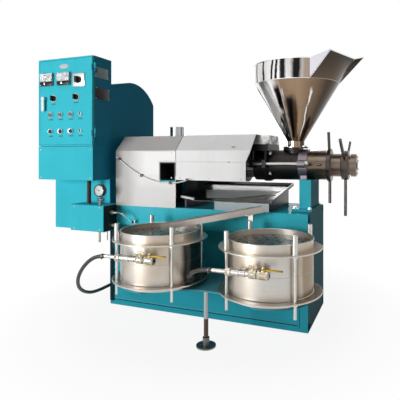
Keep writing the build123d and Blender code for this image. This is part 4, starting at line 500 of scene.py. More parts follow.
# Every finish: its maker and what it takes; a word stands for one of the user's settings in PressFinishes
RECIPES = {
    "teal_enamel": (enamel, "teal", "paint_sheen", 0.6),
    # cabinet_enamel and hood_enamel: painted shade on their right sides.
    "cabinet_enamel": (enamel, "teal", "paint_sheen", 0.6, 0.08, 0.0, CABINET_SIDE - 0.0008),
    # base_enamel: painted shade towards the floor.
    "base_enamel": (enamel, "teal", "paint_sheen", 0.6, 0.08, 0.50),
    "hood_enamel": (enamel, "teal", "paint_sheen", 0.6, 0.08, 0.0, HOOD_SIDE),
    "white_enamel": (enamel, "white", 0.34, 0.3, 0.2),
    "motor_enamel": (enamel, (0.03, 0.12, 0.20), 0.4, 0.5, 0.2),
    "seam_shadow": (enamel, (0.006, 0.05, 0.065), 0.6, 0.1),
    "guard_seam": (enamel, (0.10, 0.10, 0.10), 0.6, 0.1),
    "deep_teal": (enamel, (0.004, 0.030, 0.045), 0.4, 0.1),
    "pale_teal": (enamel, (0.12, 0.42, 0.50), 0.3, 0.2),
    "guard_paint": (guard_paint, "white"),
    "chamber_paint": (chamber_paint, "teal"),
    "table_paint": (table_paint, (0.09, 0.34, 0.42)),
    # Drum walls: where the painted reflection's dark side starts round the axis, in degrees, and its colour.
    "drum_wall_left": (drum_wall, "stainless", DRUM_AXES["left"], -32, (0.10, 0.095, 0.09, 1)),
    "drum_wall_right": (drum_wall, "stainless", DRUM_AXES["right"], -48, (0.30, 0.235, 0.17, 1)),
    "drum_stainless": (brushed, "stainless", "steel_sheen", (3, 3, 420), 0.2, 0.35),
    "filter_mesh": (perforated, (0.20, 0.17, 0.145), 0.011),
    "hopper_sheet": (mirror_sheet, (0.93, 0.92, 0.90)),
    "mirror_steel": (brushed, "bright", 0.11, (5, 5, 90), 0.04, 0.12),
    "vent_steel": (wall_streaks, (0.66, 0.69, 0.70), (VENT_X, 0)),
    "pipe_steel": (brushed, (0.58, 0.56, 0.52), 0.26, (300, 6, 6), 0.1, 0.4),
    "zinc_hardware": (brushed, (0.62, 0.61, 0.58), 0.30, (60, 60, 60), 0.15, 0.4),
    "foot_steel": (brushed, (0.16, 0.17, 0.16), 0.42, (60, 60, 60), 0.1, 0.3),
    "turned_steel": (brushed, (0.40, 0.38, 0.36), 0.32, (420, 4, 4), 0.2, 0.5),
    "gear_steel": (brushed, (0.35, 0.35, 0.36), 0.35, (300, 6, 6), 0.2, 0.4),
    "turned_barrel": (brushed, "rusted", 0.26, (3, 55, 55), 0.35, 0.25),
    "blued_ring": (brushed, (0.075, 0.066, 0.062), 0.26, (60, 60, 3), 0.2, 0.15),
    "tray_steel": (brushed, (0.022, 0.022, 0.024), 0.34, (5, 120, 5), 0.15, 0.12),
    "gutter_steel": (brushed, (0.50, 0.46, 0.42), 0.34, (5, 160, 160), 0.15, 0.5),
    "nickel_fitting": (brushed, (0.50, 0.46, 0.38), 0.28, (200, 200, 200), 0.1, 0.35),
    "brass_fitting": (brushed, "brass", 0.26, (220, 220, 220), 0.1, 0.35),
    "gauge_case": (brushed, (0.12, 0.12, 0.12), 0.3, (80, 80, 80), 0.05, 0.2),
    "clamp_band": (brushed, (0.10, 0.10, 0.10), 0.3, (90, 90, 90), 0.1, 0.3),
    "bezel_chrome": (brushed, (0.70, 0.70, 0.69), 0.14, (50, 50, 50), 0.03, 0.1),
    "isolator_plate": (brushed, (0.80, 0.78, 0.76), 0.3, (200, 200, 4), 0.1, 0.2),
    "dark_casting": (cast_metal, "iron", 0.22, 0.45),
    "housing_steel": (cast_metal, (0.22, 0.20, 0.23), 0.15, 0.38),
    "worn_block": (end_block,),
    "scraper_strip": (worn_strip,),
    "hose_rubber": (braided, (0.022, 0.021, 0.020), 0.42),
    "belt_rubber": (braided, (0.018, 0.018, 0.018), 0.55),
    "ribbed_sleeve": (braided, (0.045, 0.026, 0.014), 0.5),
    "hose_clear_wall": (clear_glass,),
    "meter_glass": (clear_glass,),
    "lever_sleeve": (moulded, "lever", 0.35),
    "black_moulding": (moulded, (0.012, 0.012, 0.014), 0.32),
    "grey_bezel": (moulded, (0.28, 0.28, 0.29), 0.35),
    "dark_handle": (moulded, (0.035, 0.028, 0.030), 0.3),
    "green_cap": (moulded, (0.015, 0.06, 0.035), 0.3),
    "plum_cap": (moulded, (0.055, 0.025, 0.045), 0.3),
    "cable_sheath": (moulded, (0.85, 0.84, 0.80), 0.4),
    "clip_moulding": (moulded, (0.02, 0.02, 0.02), 0.45),
    "dial_card": (moulded, (0.78, 0.75, 0.72), 0.5),
    "gauge_card": (moulded, (0.80, 0.80, 0.78), 0.5),
    "dial_mark": (moulded, (0.35, 0.05, 0.05), 0.5),
    "label_strip": (moulded, (0.06, 0.16, 0.17), 0.4),
    "grey_lens": (moulded, (0.05, 0.09, 0.08), 0.15),
    "green_lens": (moulded, (0.015, 0.10, 0.06), 0.15),
    "dark_lens": (moulded, (0.02, 0.05, 0.04), 0.15),
    "bare_plate": (moulded, (0.62, 0.60, 0.60), 0.35),
    "grey_plate": (moulded, (0.33, 0.40, 0.41), 0.5),
    "dark_plate": (moulded, (0.020, 0.010, 0.016), 0.4),
    "end_shadow": (moulded, (0.012, 0.013, 0.015), 0.4),
    "grey_mark": (moulded, (0.30, 0.30, 0.30), 0.5),
    "plate_galvanised": (moulded, (0.60, 0.68, 0.63), 0.5),
    "pale_lip": (moulded, (0.72, 0.72, 0.75), 0.4),
}

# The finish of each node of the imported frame
CAD_FINISHES = {
    "teal_enamel": ("pump_box", "drive_stand", "gearbox_casing", "support_column", "cabinet_door"),
    "cabinet_enamel": ("cabinet_shell",),
    "base_enamel": ("base_frame", "base_panels"),
    "hood_enamel": ("belt_hood",),
    "chamber_paint": ("cake_chamber",),
    "table_paint": ("drum_table",),
    "white_enamel": ("guard_right", "guard_lid"),
    "guard_paint": ("guard_left",),
    "drum_wall_left": ("drum_left",),
    "drum_wall_right": ("drum_right",),
    "pipe_steel": ("valve_pipe_left", "valve_pipe_right"),
    "filter_mesh": ("drum_screens",),
    "zinc_hardware": ("drum_rods", "door_handle"),
    "foot_steel": ("table_foot",),
    "turned_steel": ("tie_bars", "input_shaft", "press_screw"),
    "gear_steel": ("lay_gear", "output_gear", "cage_bars"),
    "dark_casting": ("cage_clamps", "feed_body", "motor_pulley", "driven_pulley"),
    "worn_block": ("cage_end_block",),
    "housing_steel": ("bearing_housing",),
    "turned_barrel": ("thrust_tube", "adjust_sleeve"),
    "blued_ring": ("lock_ring", "adjuster_ring"),
    "hopper_sheet": ("hopper",),
    "tray_steel": ("oil_tray",),
    "gutter_steel": ("gutter",),
    "nickel_fitting": ("pump_fittings",),
    "brass_fitting": ("wing_left", "wing_right"),
    "lever_sleeve": ("lever_left", "lever_right"),
    "gauge_case": ("vacuum_gauge",),
    "motor_enamel": ("motor",),
    "belt_rubber": ("v_belts",),
    "grey_bezel": ("door_fittings",),
    "dark_handle": ("isolator_knob",),
    "black_moulding": ("knob_left", "knob_right"),
    "green_cap": ("button_left",),
    "plum_cap": ("button_middle", "button_right"),
    "hose_rubber": ("hose_left", "hose_right"),
    "hose_clear_wall": ("hose_clear",),
    "cable_sheath": ("guard_cable",),
}
ROUNDED_SHEETS = ("base_panels", "pump_box", "cabinet_door", "guard_left", "guard_lid", "belt_hood")
FINISHES = {}


def finish(name):
    """The named material, made from its recipe when it is first asked for."""
    if name not in FINISHES:
        make, *values = RECIPES[name]
        chosen = bpy.context.scene.press_finishes
        FINISHES[name] = make(name, *(getattr(chosen, value) if isinstance(value, str) else value
                                      for value in values))
    return FINISHES[name]


class PressFinishes(bpy.types.PropertyGroup):
    """Colours and sheens of the press."""
    teal: FloatVectorProperty(name="Teal enamel", description="Body paint", subtype="COLOR", size=3,
                              default=(0.055, 0.58, 0.70))
    white: FloatVectorProperty(name="White enamel", description="Guard paint", subtype="COLOR", size=3,
                               default=(0.94, 0.93, 0.92))
    stainless: FloatVectorProperty(name="Stainless", description="Drums and pipes", subtype="COLOR", size=3,
                                   default=(0.57, 0.55, 0.52))
    bright: FloatVectorProperty(name="Polished steel", description="Beads of the hopper", subtype="COLOR", size=3,
                                default=(0.86, 0.85, 0.83))
    iron: FloatVectorProperty(name="Casting", description="Press body", subtype="COLOR", size=3,
                              default=(0.022, 0.021, 0.023))
    rusted: FloatVectorProperty(name="Turned barrel", description="Thrust tube and adjuster", subtype="COLOR",
                                size=3, default=(0.17, 0.13, 0.10))
    brass: FloatVectorProperty(name="Brass", description="Valves and fittings", subtype="COLOR", size=3,
                               default=(0.50, 0.42, 0.28))
    lever: FloatVectorProperty(name="Lever sleeve", description="Valve levers", subtype="COLOR", size=3,
                               default=(0.85, 0.55, 0.02))
    paint_sheen: FloatProperty(name="Paint roughness", description="Roughness of the enamel", default=0.26,
                               min=0.05, max=1)
    steel_sheen: FloatProperty(name="Steel roughness", description="Roughness of brushed steel", default=0.30,
                               min=0.05, max=1)


class PressTrim(bpy.types.PropertyGroup):
    """Sizes of the small parts."""
    bolt: FloatProperty(name="Bolt", description="Radius of a flange bolt's head", default=0.011, unit="LENGTH")
    screw: FloatProperty(name="Screw", description="Radius of a panel screw's head", default=0.005, unit="LENGTH")
    clamp: FloatProperty(name="Hose clamp", description="Width of a hose clamp", default=0.012, unit="LENGTH")
    bead: FloatProperty(name="Rim bead", description="Radius of the hopper's rolled rim", default=0.0035,
                        unit="LENGTH")
    softened: FloatProperty(name="Edge", description="Rounding of sheet edges", default=0.0012, unit="LENGTH")


class PressStage(bpy.types.PropertyGroup):
    """Light and camera."""
    key: FloatProperty(name="Key light", description="Power of the front light", default=176.0, unit="POWER")
    top: FloatProperty(name="Top light", description="Power of the ceiling light", default=9.0, unit="POWER")
    rear: FloatProperty(name="Rear light", description="Power of the light behind the press", default=120.0,
                        unit="POWER")
    ambient: FloatProperty(name="Ambient", description="World light on matt surfaces", default=0.03)
    mirrored: FloatProperty(name="Mirrored", description="World light seen in metal", default=0.90)
    yaw: FloatProperty(name="View angle", description="Turn of the camera from straight ahead", default=0.3592,
                       unit="ROTATION")


class Shape:
    """Collects solids in one mesh, each with the name of its finish."""

    def __init__(self, name):
        self.name, self.mesh, self.finishes = name, bmesh.new(), []

    def paint(self, faces, name, smooth=False):
        if name not in self.finishes:
            self.finishes.append(name)
        for face in faces:
            face.material_index, face.smooth = self.finishes.index(name), smooth

    def block(self, low, high, name, edge):
        """Box with rounded edges between two corners."""
        low, high = Vector(low), Vector(high)
        size = high - low
        made = bmesh.ops.create_cube(self.mesh, size=1.0)["verts"]
        for vertex in made:
            vertex.co = vertex.co * size + (low + high) / 2
        result = bmesh.ops.bevel(self.mesh, geom=list({side for vertex in made for side in vertex.link_edges}),
                                 offset=min(edge, min(size) * 0.4), segments=2, affect="EDGES", profile=0.5)
        self.paint({face for vertex in result["verts"] for face in vertex.link_faces}, name)

    def plate(self, x, z, half_x, half_z, front, back, name, edge):
        """Block round a centre on the door, given by how far it stands out and how far it sinks in."""
        self.block((x - half_x, DOOR_FACE - front, z - half_z), (x + half_x, DOOR_FACE + back, z + half_z), name, edge)

    def ring(self, centre, side, other, radius, segments):
        """Vertices on a circle, or one vertex where it has no radius."""
        if radius < 1e-6:
            return [self.mesh.verts.new(centre)]
        return [self.mesh.verts.new(centre + (side * math.cos(turn) + other * math.sin(turn)) * radius)
                for turn in (math.tau * i / segments for i in range(segments))]

    def skin(self, rings):
        """Faces between rings of vertices."""
        faces = []
        for first, second in zip(rings, rings[1:]):
            count = max(len(first), len(second))
            for i in range(count):
                j = (i + 1) % count
                corners = [first[i % len(first)], first[j % len(first)], second[j % len(second)],
                           second[i % len(second)]]
                faces.append(self.mesh.faces.new(list(dict.fromkeys(corners))))
        return faces

    def turned(self, profile, origin, axis, name, segments=32, smooth=True):
        """Lathe work: (along, radius) pairs turned about an axis."""
        side = axis.orthogonal().normalized()
        rings = [self.ring(Vector(origin) + axis * along, side, axis.cross(side), radius, segments)
                 for along, radius in profile]
        self.paint(self.skin(rings), name, smooth)

    def bead(self, places, radius, name, segments=8):
        """Round bead along a line of points."""
        rings = []
        for i, place in enumerate(places):
            way = (places[min(i + 1, len(places) - 1)] - places[max(i - 1, 0)]).normalized()
            side = way.cross(UP)
            side = (side if side.length > 1e-3 else way.cross(RIGHT)).normalized()
            rings.append(self.ring(place, side, side.cross(way), radius, segments))
        ends = [self.mesh.faces.new(list(reversed(rings[0]))), self.mesh.faces.new(rings[-1])]
        self.paint(self.skin(rings) + ends, name, True)

    def slab(self, places, way, name):
        """Flat outline pushed along a way."""
        near = [self.mesh.verts.new(place) for place in places]
        far = [self.mesh.verts.new(vertex.co + way) for vertex in near]
        ends = [self.mesh.faces.new(list(reversed(near))), self.mesh.faces.new(far)]
        self.paint(self.skin([near, far]) + ends, name)

    def mark(self, centre, degrees, low, high, half, tip, depth, name):
        """Line or needle on a dial, between two distances; its angle runs from -X over the top."""
        turn = math.radians(degrees)
        across, up = Vector((math.sin(turn), 0, math.cos(turn))), Vector((-math.cos(turn), 0, math.sin(turn)))
        self.slab([centre + across * u + up * v for u, v in ((-half, low), (half, low), (tip, high), (-tip, high))],
                  FRONT * depth, name)

    def hexagon(self, origin, axis, radius, height, name="zinc_hardware"):
        """Hexagon head with chamfered corners and a washer under it."""
        foot = height * 0.18
        self.turned([(0, 0), (0, radius * 1.25), (foot, radius * 1.25), (foot, radius * 0.9)], origin, axis, name, 20)
        self.turned([(foot, 0), (foot, radius), (height * 0.88, radius), (height, radius * 0.84), (height, 0)],
                    origin, axis, name, 6, False)

    def screw(self, origin, axis, radius, name="zinc_hardware"):
        """Round-headed panel screw with a recess."""
        self.turned([(0, radius), (radius * 0.25, radius), (radius * 0.5, radius * 0.8), (radius * 0.62, radius * 0.4),
                     (radius * 0.3, radius * 0.35), (radius * 0.3, 0)], origin, axis, name, 14)

    def place(self, body, slot):
        """Turns the collected solids into a piece that rides on a body."""
        bmesh.ops.recalc_face_normals(self.mesh, faces=self.mesh.faces)
        data = bpy.data.meshes.new(self.name)
        self.mesh.to_mesh(data)
        self.mesh.free()
        for name in self.finishes:
            data.materials.append(finish(name))
        piece = bpy.data.objects.new(self.name, data)
        bpy.context.scene.collection.objects.link(piece)
        data.set_sharp_from_angle(angle=math.radians(35))
        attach(piece, body)


def around(count, radius, first):
    """Pairs spaced evenly on a circle, from a first angle in degrees."""
    turns = (math.radians(first + 360 * step / count) for step in range(count))
    return [(radius * math.cos(turn), radius * math.sin(turn)) for turn in turns]


class PRESS_OT_finishes(bpy.types.Operator):
    """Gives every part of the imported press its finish"""
    bl_idname = "press.finishes"
    bl_label = "Finish the CAD parts"

    def execute(self, context):
        for finish_name, names in CAD_FINISHES.items():
            for name in names:
                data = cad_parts[name].data
                data.materials.clear()
                data.materials.append(finish(finish_name))
        for name in ROUNDED_SHEETS:
            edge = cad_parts[name].modifiers.new("sheet_edge", "BEVEL")
            edge.width, edge.segments, edge.limit_method = context.scene.press_trim.softened, 2, "ANGLE"
            edge.angle_limit = math.radians(50)
        return {"FINISHED"}


def run_cord(name, points, radius, material):
    """Smooth round cord on a NURBS spline through the route's control points."""
    data = bpy.data.curves.new(name, "CURVE")
    data.dimensions, data.bevel_depth, data.bevel_resolution = "3D", radius, 5
    data.resolution_u, data.use_fill_caps = 10, True
    spline = data.splines.new("NURBS")
    spline.points.add(len(points) - 1)
    for control, place in zip(spline.points, points):
        control.co = (*place, 1)
    spline.order_u, spline.use_endpoint_u = 3, True
    data.materials.append(material)
    cord = bpy.data.objects.new(name, data)
    bpy.context.scene.collection.objects.link(cord)
    return cord


class PRESS_OT_hoses(bpy.types.Operator):
    """Lays the oil hoses, the vacuum hose and the guard's sensor cable with their clamps"""
    bl_idname = "press.hoses"
    bl_label = "Hoses and cable"

    def execute(self, context):
        clamps, width = Shape("hose_clamps"), context.scene.press_trim.clamp
        for side, hose in HOSES.items():
            points, radius = [Vector(point) for point in hose["points"]], hose["radius"]
            wall, slot = ("hose_clear_wall", "clear_hose") if side == "clear" else ("hose_rubber", "black_rubber")
            cord = run_cord(f"oil_hose_{side}", points, radius, finish(wall))
            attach(cord, "frame")
            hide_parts(f"hose_{side}")
            2 * radius
            for start, then in ((points[0], points[1]), (points[-1], points[-2])):
                way = (then - start).normalized()
                at, side_way = start + way * 0.010, way.orthogonal().normalized()
                clamps.turned([(0, radius), (0, radius + 0.0016), (width * 0.15, radius + 0.0022),
                               (width * 0.85, radius + 0.0022), (width, radius + 0.0016), (width, radius)],
                              at, way, "clamp_band", 28)
                clamps.turned([(-0.006, 0), (-0.006, 0.0032), (0.006, 0.0032), (0.006, 0)],
                              at + way * width / 2 + side_way * (radius + 0.004), way.cross(side_way), "clamp_band", 12)
        clamps.place("frame", "polished")
        route = [(x, CABLE_Y, z) for x, z in CABLE]
        cable = run_cord("sensor_cable", route, CABLE_RADIUS, finish("cable_sheath"))
        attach(cable, "frame")
        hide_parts("guard_cable")
        clips = Shape("cable_clips")
        for x, z in CABLE_CLIPS:
            clips.block((x - 0.010, CABLE_Y - 0.006, z - 0.008), (x + 0.010, GUARD_LOW.y, z + 0.008),
                        "clip_moulding", 0.003)
            clips.screw((x, CABLE_Y - 0.006, z - 0.001), FRONT, 0.0035)
        clips.place("frame", "cream_cable")
        return {"FINISHED"}


class PRESS_OT_cabinet(bpy.types.Operator):
    """Details of the electric cabinet: meters, lamps, bezels, label strips, plates, hinges and seams"""
    bl_idname = "press.cabinet"
    bl_label = "Cabinet details"

    def execute(self, context):
        trims = Shape("door_trim")
        front = DOOR_FACE - METER_DEPTH
        for x, z in METERS:
            left, right, low, split, top = x - METER_W, x + METER_W, z - METER_H, z - METER_H * 0.30, z + METER_H
            trims.block((left, front - 0.003, low), (right, front + 0.001, split), "black_moulding", 0.002)
            trims.block((left + 0.003, front - 0.0015, split), (right - 0.003, front, top - 0.003), "dial_card", 0.001)
            for step in range(9):
                trims.mark(Vector((x, front - 0.0018, z - 0.018)), 40 + step * 12.5, 0.040, 0.047, 0.0006, 0.0006,
                           0.0004, "dial_mark")
            trims.mark(Vector((x, front - 0.0022, z - 0.018)), 62, 0.006, 0.045, 0.0010, 0.0004, 0.0004,
                       "black_moulding")
            trims.block((x - METER_W * 0.35, front - 0.0042, z - METER_H * 0.80),
                        (x - METER_W * 0.12, front - 0.0028, z - METER_H * 0.42), "bezel_chrome", 0.001)
            trims.block((left, front - 0.0048, z - METER_H * 0.28), (right, front - 0.0036, top), "meter_glass", 0.0008)
            for corner_x in (left + 0.006, right - 0.006):
                trims.screw((corner_x, front - 0.003, low + 0.006), FRONT, 0.0028, "bezel_chrome")
        trims.plate(*ISOLATOR, 0.046, 0.041, 0.0065, -0.004, "isolator_plate", 0.001)
        for corner_x in (ISOLATOR[0] - 0.039, ISOLATOR[0] + 0.039):
            for corner_z in (ISOLATOR[1] - 0.034, ISOLATOR[1] + 0.034):
                trims.screw((corner_x, DOOR_FACE - 0.0065, corner_z), FRONT, 0.0028, "bezel_chrome")

        def bezels(places, profile, segments):
            """The same lathe work at each place on the door."""
            for x, z in places:
                trims.turned(profile, (x, DOOR_FACE, z), FRONT, "bezel_chrome", segments)

        bezels(CONTROLS, [(0, 0.026), (0.004, 0.0255), (0.0065, 0.0235), (0.0065, 0.019)], 40)
        bezels(LAMPS.values(), [(0, 0.0185), (BEZEL_DEPTH, 0.0180), (BEZEL_DEPTH + 0.0015, 0.0165),
                                (BEZEL_DEPTH + 0.0015, 0.0135)], 36)
        bezels(BUTTONS, [(0, 0.0185), (BEZEL_DEPTH, 0.0180), (BEZEL_DEPTH + 0.0015, 0.0168),
                         (BEZEL_DEPTH + 0.0010, 0.0135), (BEZEL_DEPTH - 0.003, 0.0128)], 36)
        bezels(KEYS, [(0, 0.0125), (0.0085, 0.0120), (0.0100, 0.0105), (0.0100, 0.004), (0.0085, 0.0035),
                      (0.0085, 0)], 28)
        dome = [(BEZEL_DEPTH + 0.008 * math.sin(math.radians(step * 15)), 0.0136 * math.cos(math.radians(step * 15)))
                for step in range(6)]
        for lens, (x, z) in LAMPS.items():
            trims.turned(dome + [(BEZEL_DEPTH + 0.0081, 0)], (x, DOOR_FACE - 0.001, z), FRONT, lens, 36)
        for x, z in KEYS:
            trims.plate(x, z + 0.001, 0.0012, 0.009, 0.0150, -0.0095, "black_moulding", 0.0008)
        for places, drop in ((CONTROLS, 0.036), (LAMPS.values(), 0.031), (BUTTONS, 0.031), (KEYS, 0.031)):
            for x, z in places:
                trims.plate(x, z - drop, 0.018, 0.0035, 0.0014, 0.0005, "label_strip", 0.0007)
        badge = ((-0.042, 0), (-0.020, -0.014), (0.020, -0.014), (0.042, 0), (0.020, 0.014), (-0.020, 0.014))
        trims.slab([Vector((BADGE[0] + u, DOOR_FACE - 0.0012, BADGE[1] + v)) for u, v in badge], FRONT * -0.0016,
                   "bare_plate")
        low, high, hinge = DOOR_LOW + Vector((0.010, 0, 0.010)), DOOR_HIGH - Vector((0, 0, 0.010)), SHELL_HIGH.x - 0.014
        for x in (low.x, hinge):
            trims.plate(x, (low.z + high.z) / 2, 0.0008, (high.z - low.z) / 2, 0.0006, 0.0005, "seam_shadow", 0.0003)
        for z in (high.z, low.z):
            trims.plate((low.x + hinge) / 2, z, (hinge - low.x) / 2, 0.0008, 0.0006, 0.0005, "seam_shadow", 0.0003)
        for z in HINGE_PLACES:
            trims.plate(SHELL_HIGH.x - 0.016, z, 0.004, 0.020, 0.0008, 0.0005, "black_moulding", 0.0005)
        trims.place("door", "black_plastic")

        shell = Shape("cabinet_plates")
        inner, outer = CABINET_SIDE - 0.001, CABINET_SIDE + 0.002
        for name, near, far, bottom, top in (("grey_plate", -0.416, -0.293, 1.505, 1.572),
                                             ("dark_plate", -0.412, -0.281, 1.367, 1.440)):
            shell.block((inner, near, bottom), (outer, far, top), name, 0.0006)
            for y in (near + 0.004, far - 0.004):
                for z in (bottom + 0.004, top - 0.004):
                    shell.screw((outer, y, z), RIGHT, 0.003)
        for z in (SHELL_LOW.z + 0.015, SHELL_LOW.z + 0.197):
            for x in (SHELL_LOW.x + 0.020, CABINET_SIDE - 0.020):
                shell.screw((x, DOOR_FACE, z), FRONT, 0.0045)
        shell.place("frame", "machined_steel")
        return {"FINISHED"}


class PRESS_OT_gauge(bpy.types.Operator):
    """Dial, needle, glass and bezel of the vacuum gauge, with the conduit's sleeve and the pump box's end"""
    bl_idname = "press.gauge"
    bl_label = "Vacuum gauge"

    def execute(self, context):
        centre = Vector(((GAUGE_LOW.x + GAUGE_HIGH.x) / 2, GAUGE_LOW.y, GAUGE_HIGH.z - 0.040))
        dial = Shape("gauge_dial")
        for profile, name, segments in (
                ([(-0.006, 0.0405), (0.0006, 0.0405), (0.0030, 0.0390), (0.0030, 0.0350), (-0.004, 0.0335)],
                 "black_moulding", 48),
                ([(-0.0026, 0.0340), (-0.0026, 0)], "gauge_card", 48),
                ([(-0.003, 0.004), (0.0002, 0.0035), (0.0008, 0)], "black_moulding", 20),
                ([(0.0012, 0.0352), (0.0020, 0.020), (0.0022, 0)], "meter_glass", 40)):
            dial.turned(profile, centre, FRONT, name, segments)
        for step in range(11):
            dial.mark(centre - FRONT * 0.0025, -45 + step * 27, 0.026, 0.0315, 0.0007, 0.0007, 0.0005, "black_moulding")
        dial.mark(centre - FRONT * 0.0018, 20, -0.008, 0.027, 0.0016, 0.0004, 0.0005, "black_moulding")
        dial.place("frame", "polished")

        sleeve, ribs = Shape("conduit_sleeve"), []
        for step in range(RIB_COUNT):
            low = SLEEVE_LOW + step * RIB_PITCH
            ribs += [(low, 0.0115), (low + 0.002, 0.0142), (low + 0.005, 0.0142), (low + 0.007, 0.0115)]
        sleeve.turned(ribs, (*SLEEVE_AXIS, 0), UP, "ribbed_sleeve", 28)
        sleeve.block((-0.6200, -0.391, 0.5115), (-0.6185, -0.262, 0.6745), "end_shadow", 0.0005)
        sleeve.place("frame", "black_plastic")
        return {"FINISHED"}


class PRESS_OT_hopper(bpy.types.Operator):
    """Rolled rim, weld seam and neck bolts of the hopper"""
    bl_idname = "press.hopper"
    bl_label = "Hopper trim"

    def execute(self, context):
        rim, bead = Shape("hopper_trim"), context.scene.press_trim.bead
        start, stop = math.radians(LIP_END), math.radians(360 + LIP_START)

        def on_hopper(radius, turn, z):
            return Vector((HOPPER_X + radius * math.cos(turn), radius * math.sin(turn), z))

        for z, thick in ((HOPPER_BAND_TOP, bead), (HOPPER_RIM_Z, bead * 0.7)):
            rim.bead([on_hopper(HOPPER_RIM, start + (stop - start) * i / 72, z) for i in range(73)], thick,
                     "mirror_steel")
        for turn in (math.radians(100), math.radians(-100)):
            rim.bead([on_hopper(NECK_R, turn, NECK_TOP), on_hopper(HOPPER_RIM, turn, HOPPER_RIM_Z)], 0.0012,
                     "mirror_steel")
        near, far, chord, out = lip_corners()
        tip = out * LIP_OUT + UP * LIP_RISE
        near_tip, far_tip = near + tip, far + tip - chord * LIP_TAPER
        for places, thick in (((near_tip, far_tip), bead), ((far_tip, far_tip + LIP_EAR), bead * 0.6)):
            rim.bead([place - UP * 0.0015 for place in places], thick, "mirror_steel")
        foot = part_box("hopper")[0].z + 0.004
        for x, y in around(6, 0.066, 30):
            rim.hexagon((HOPPER_X + x, y, foot), UP, 0.0065, 0.007)
        rim.place("frame", "polished")
        return {"FINISHED"}


class PRESS_OT_guards(bpy.types.Operator):
    """Screws, marks and seam of the guards, the rim of the cake opening and the vent's collar"""
    bl_idname = "press.guards"
    bl_label = "Guard trim"

    def execute(self, context):
        front, head = GUARD_LOW.y, context.scene.press_trim.screw
        fixed = Shape("guard_trim")
        places = [(x, z) for x in (GUARD_LOW.x + 0.030, GUARD_HIGH.x - 0.030)
                  for z in (GUARD_LOW.z + 0.020, 0.860, 1.015)]
        for x, z in places + [(x, 0.860) for x in (APRON_LOW.x + 0.03, 0.074, APRON_HIGH.x - 0.03)]:
            fixed.screw((x, front, z), FRONT, head)
        (x0, z0), (x1, z1) = CAKE_LOW, CAKE_HIGH
        for left, right, low, high in ((x0 - 0.010, x1 + 0.010, z1, z1 + 0.010),
                                       (x0 - 0.010, x1 + 0.003, z0 - 0.010, z0), (x0 - 0.010, x0, z0, z1)):
            fixed.block((left, front - 0.003, low), (right, front, high), "white_enamel", 0.001)
        vent = Vector((VENT_X, 0, GUARD_HIGH.z))
        for profile, segments in (
                ([(-0.004, 0.0505), (-0.004, 0.0520), (-0.001, 0.0522), (0, 0.0510), (0, 0.0478),
                  (-0.004, 0.0478)], 48),
                ([(-VENT_TALL, 0.0502), (-VENT_TALL, VENT_R), (-0.004, VENT_R)], 64),
                ([(-VENT_TALL, 0.0477), (-0.004, 0.0477)], 64)):
            fixed.turned(profile, vent, UP, "vent_steel", segments)
        seam = [Vector((GUARD_HIGH.x + 0.0002, y, z)) for y, z in GUARD_SEAM]
        for pair in zip(seam, seam[1:]):
            fixed.bead(pair, 0.0014, "guard_seam", 6)
        lid = Shape("lid_trim")
        for x, z in ((0.200, LID_LOW.z + 0.004), (0.224, 1.052)):
            lid.block((x - 0.007, LID_LOW.y - 0.0012, z - 0.0025), (x + 0.007, LID_LOW.y + 0.02, z + 0.0025),
                      "grey_mark", 0.001)
        fixed.place("frame", "white_paint")
        lid.place("lid", "white_paint")
        return {"FINISHED"}


class PRESS_OT_tray(bpy.types.Operator):
    """Inner plate, scraper strip and bright cut edge of the oil tray"""
    bl_idname = "press.tray"
    bl_label = "Oil tray fittings"

    def execute(self, context):
        work = Shape("tray_fittings")
        for outline, lift, thick, name in ((INNER_PLATE, 0.0032, 0.0010, "plate_galvanised"),
                                           (SCRAPER, 0.0180, 0.0040, "scraper_strip"),
                                           (TRAY_CUT, 0.0032, 0.0120, "pale_lip")):
            work.slab([Vector((x, y, TRAY_REAR_Z - TRAY_SLOPE * (TRAY_REAR_Y - y) + lift)) for x, y in outline],
                      UP * thick, name)
        work.place("frame", "polished")
        return {"FINISHED"}


class PRESS_OT_drums(bpy.types.Operator):
    """Rolled drum lips, weld beads, flange rims, washers and sleeve caps of the filter drums"""
    bl_idname = "press.drums"
    bl_label = "Drum trim"

    def execute(self, context):
        work = Shape("drum_trim")
        for side in DRUM_AXES:
            low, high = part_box(f"drum_{side}")
            centre = ((low + high) / 2).xy.to_3d()
            lathe = [[(high.z - 0.002, DRUM_WALL + 0.0042), (high.z + 0.0008, DRUM_WALL + 0.0030),
                      (high.z + 0.0012, DRUM_WALL - 0.0010), (high.z - 0.001, DRUM_WALL - 0.0034)]]
            for z, rise in ((0.3284, 0.003), (0.4380, 0.0012)):
                lathe.append([(z, DRUM_WALL + 0.0002), (z + rise / 2, DRUM_WALL + rise * 0.8),
                              (z + rise, DRUM_WALL + 0.0002)])
            for z in (LOWER_FLANGE, UPPER_FLANGE):
                lathe.append([(z, DRUM_FLANGE - 0.004), (z + 0.0008, DRUM_FLANGE - 0.002),
                              (z - 0.001, DRUM_FLANGE + 0.0006), (z - 0.005, DRUM_FLANGE + 0.0006),
                              (z - 0.0065, DRUM_FLANGE - 0.002)])
            for profile in lathe:
                work.turned(profile, centre, UP, "drum_stainless", 96)
            for x, y in around(4, ROD_CIRCLE, 45):
                rod = centre + Vector((x, y, 0))
                work.turned([(UPPER_FLANGE, 0.0145), (0.5475, 0.0145), (0.5490, 0.0132)], rod, UP, "zinc_hardware", 28)
                work.turned([(0.6300, 0.0132), (SLEEVE_TOP, 0.0132), (SLEEVE_TOP + 0.0005, 0.0124),
                             (SLEEVE_TOP + 0.0005, 0.0072), (SLEEVE_TOP, 0.0068)], rod, UP, "zinc_hardware", 28)
                for under in (LOWER_FLANGE - 0.006, UPPER_FLANGE - 0.006):
                    work.turned([(under - 0.0026, 0.0138), (under - 0.0003, 0.0140), (under - 0.0003, 0.0120)], rod, UP,
                                "zinc_hardware", 24)
        work.place("frame", "stainless")
        return {"FINISHED"}


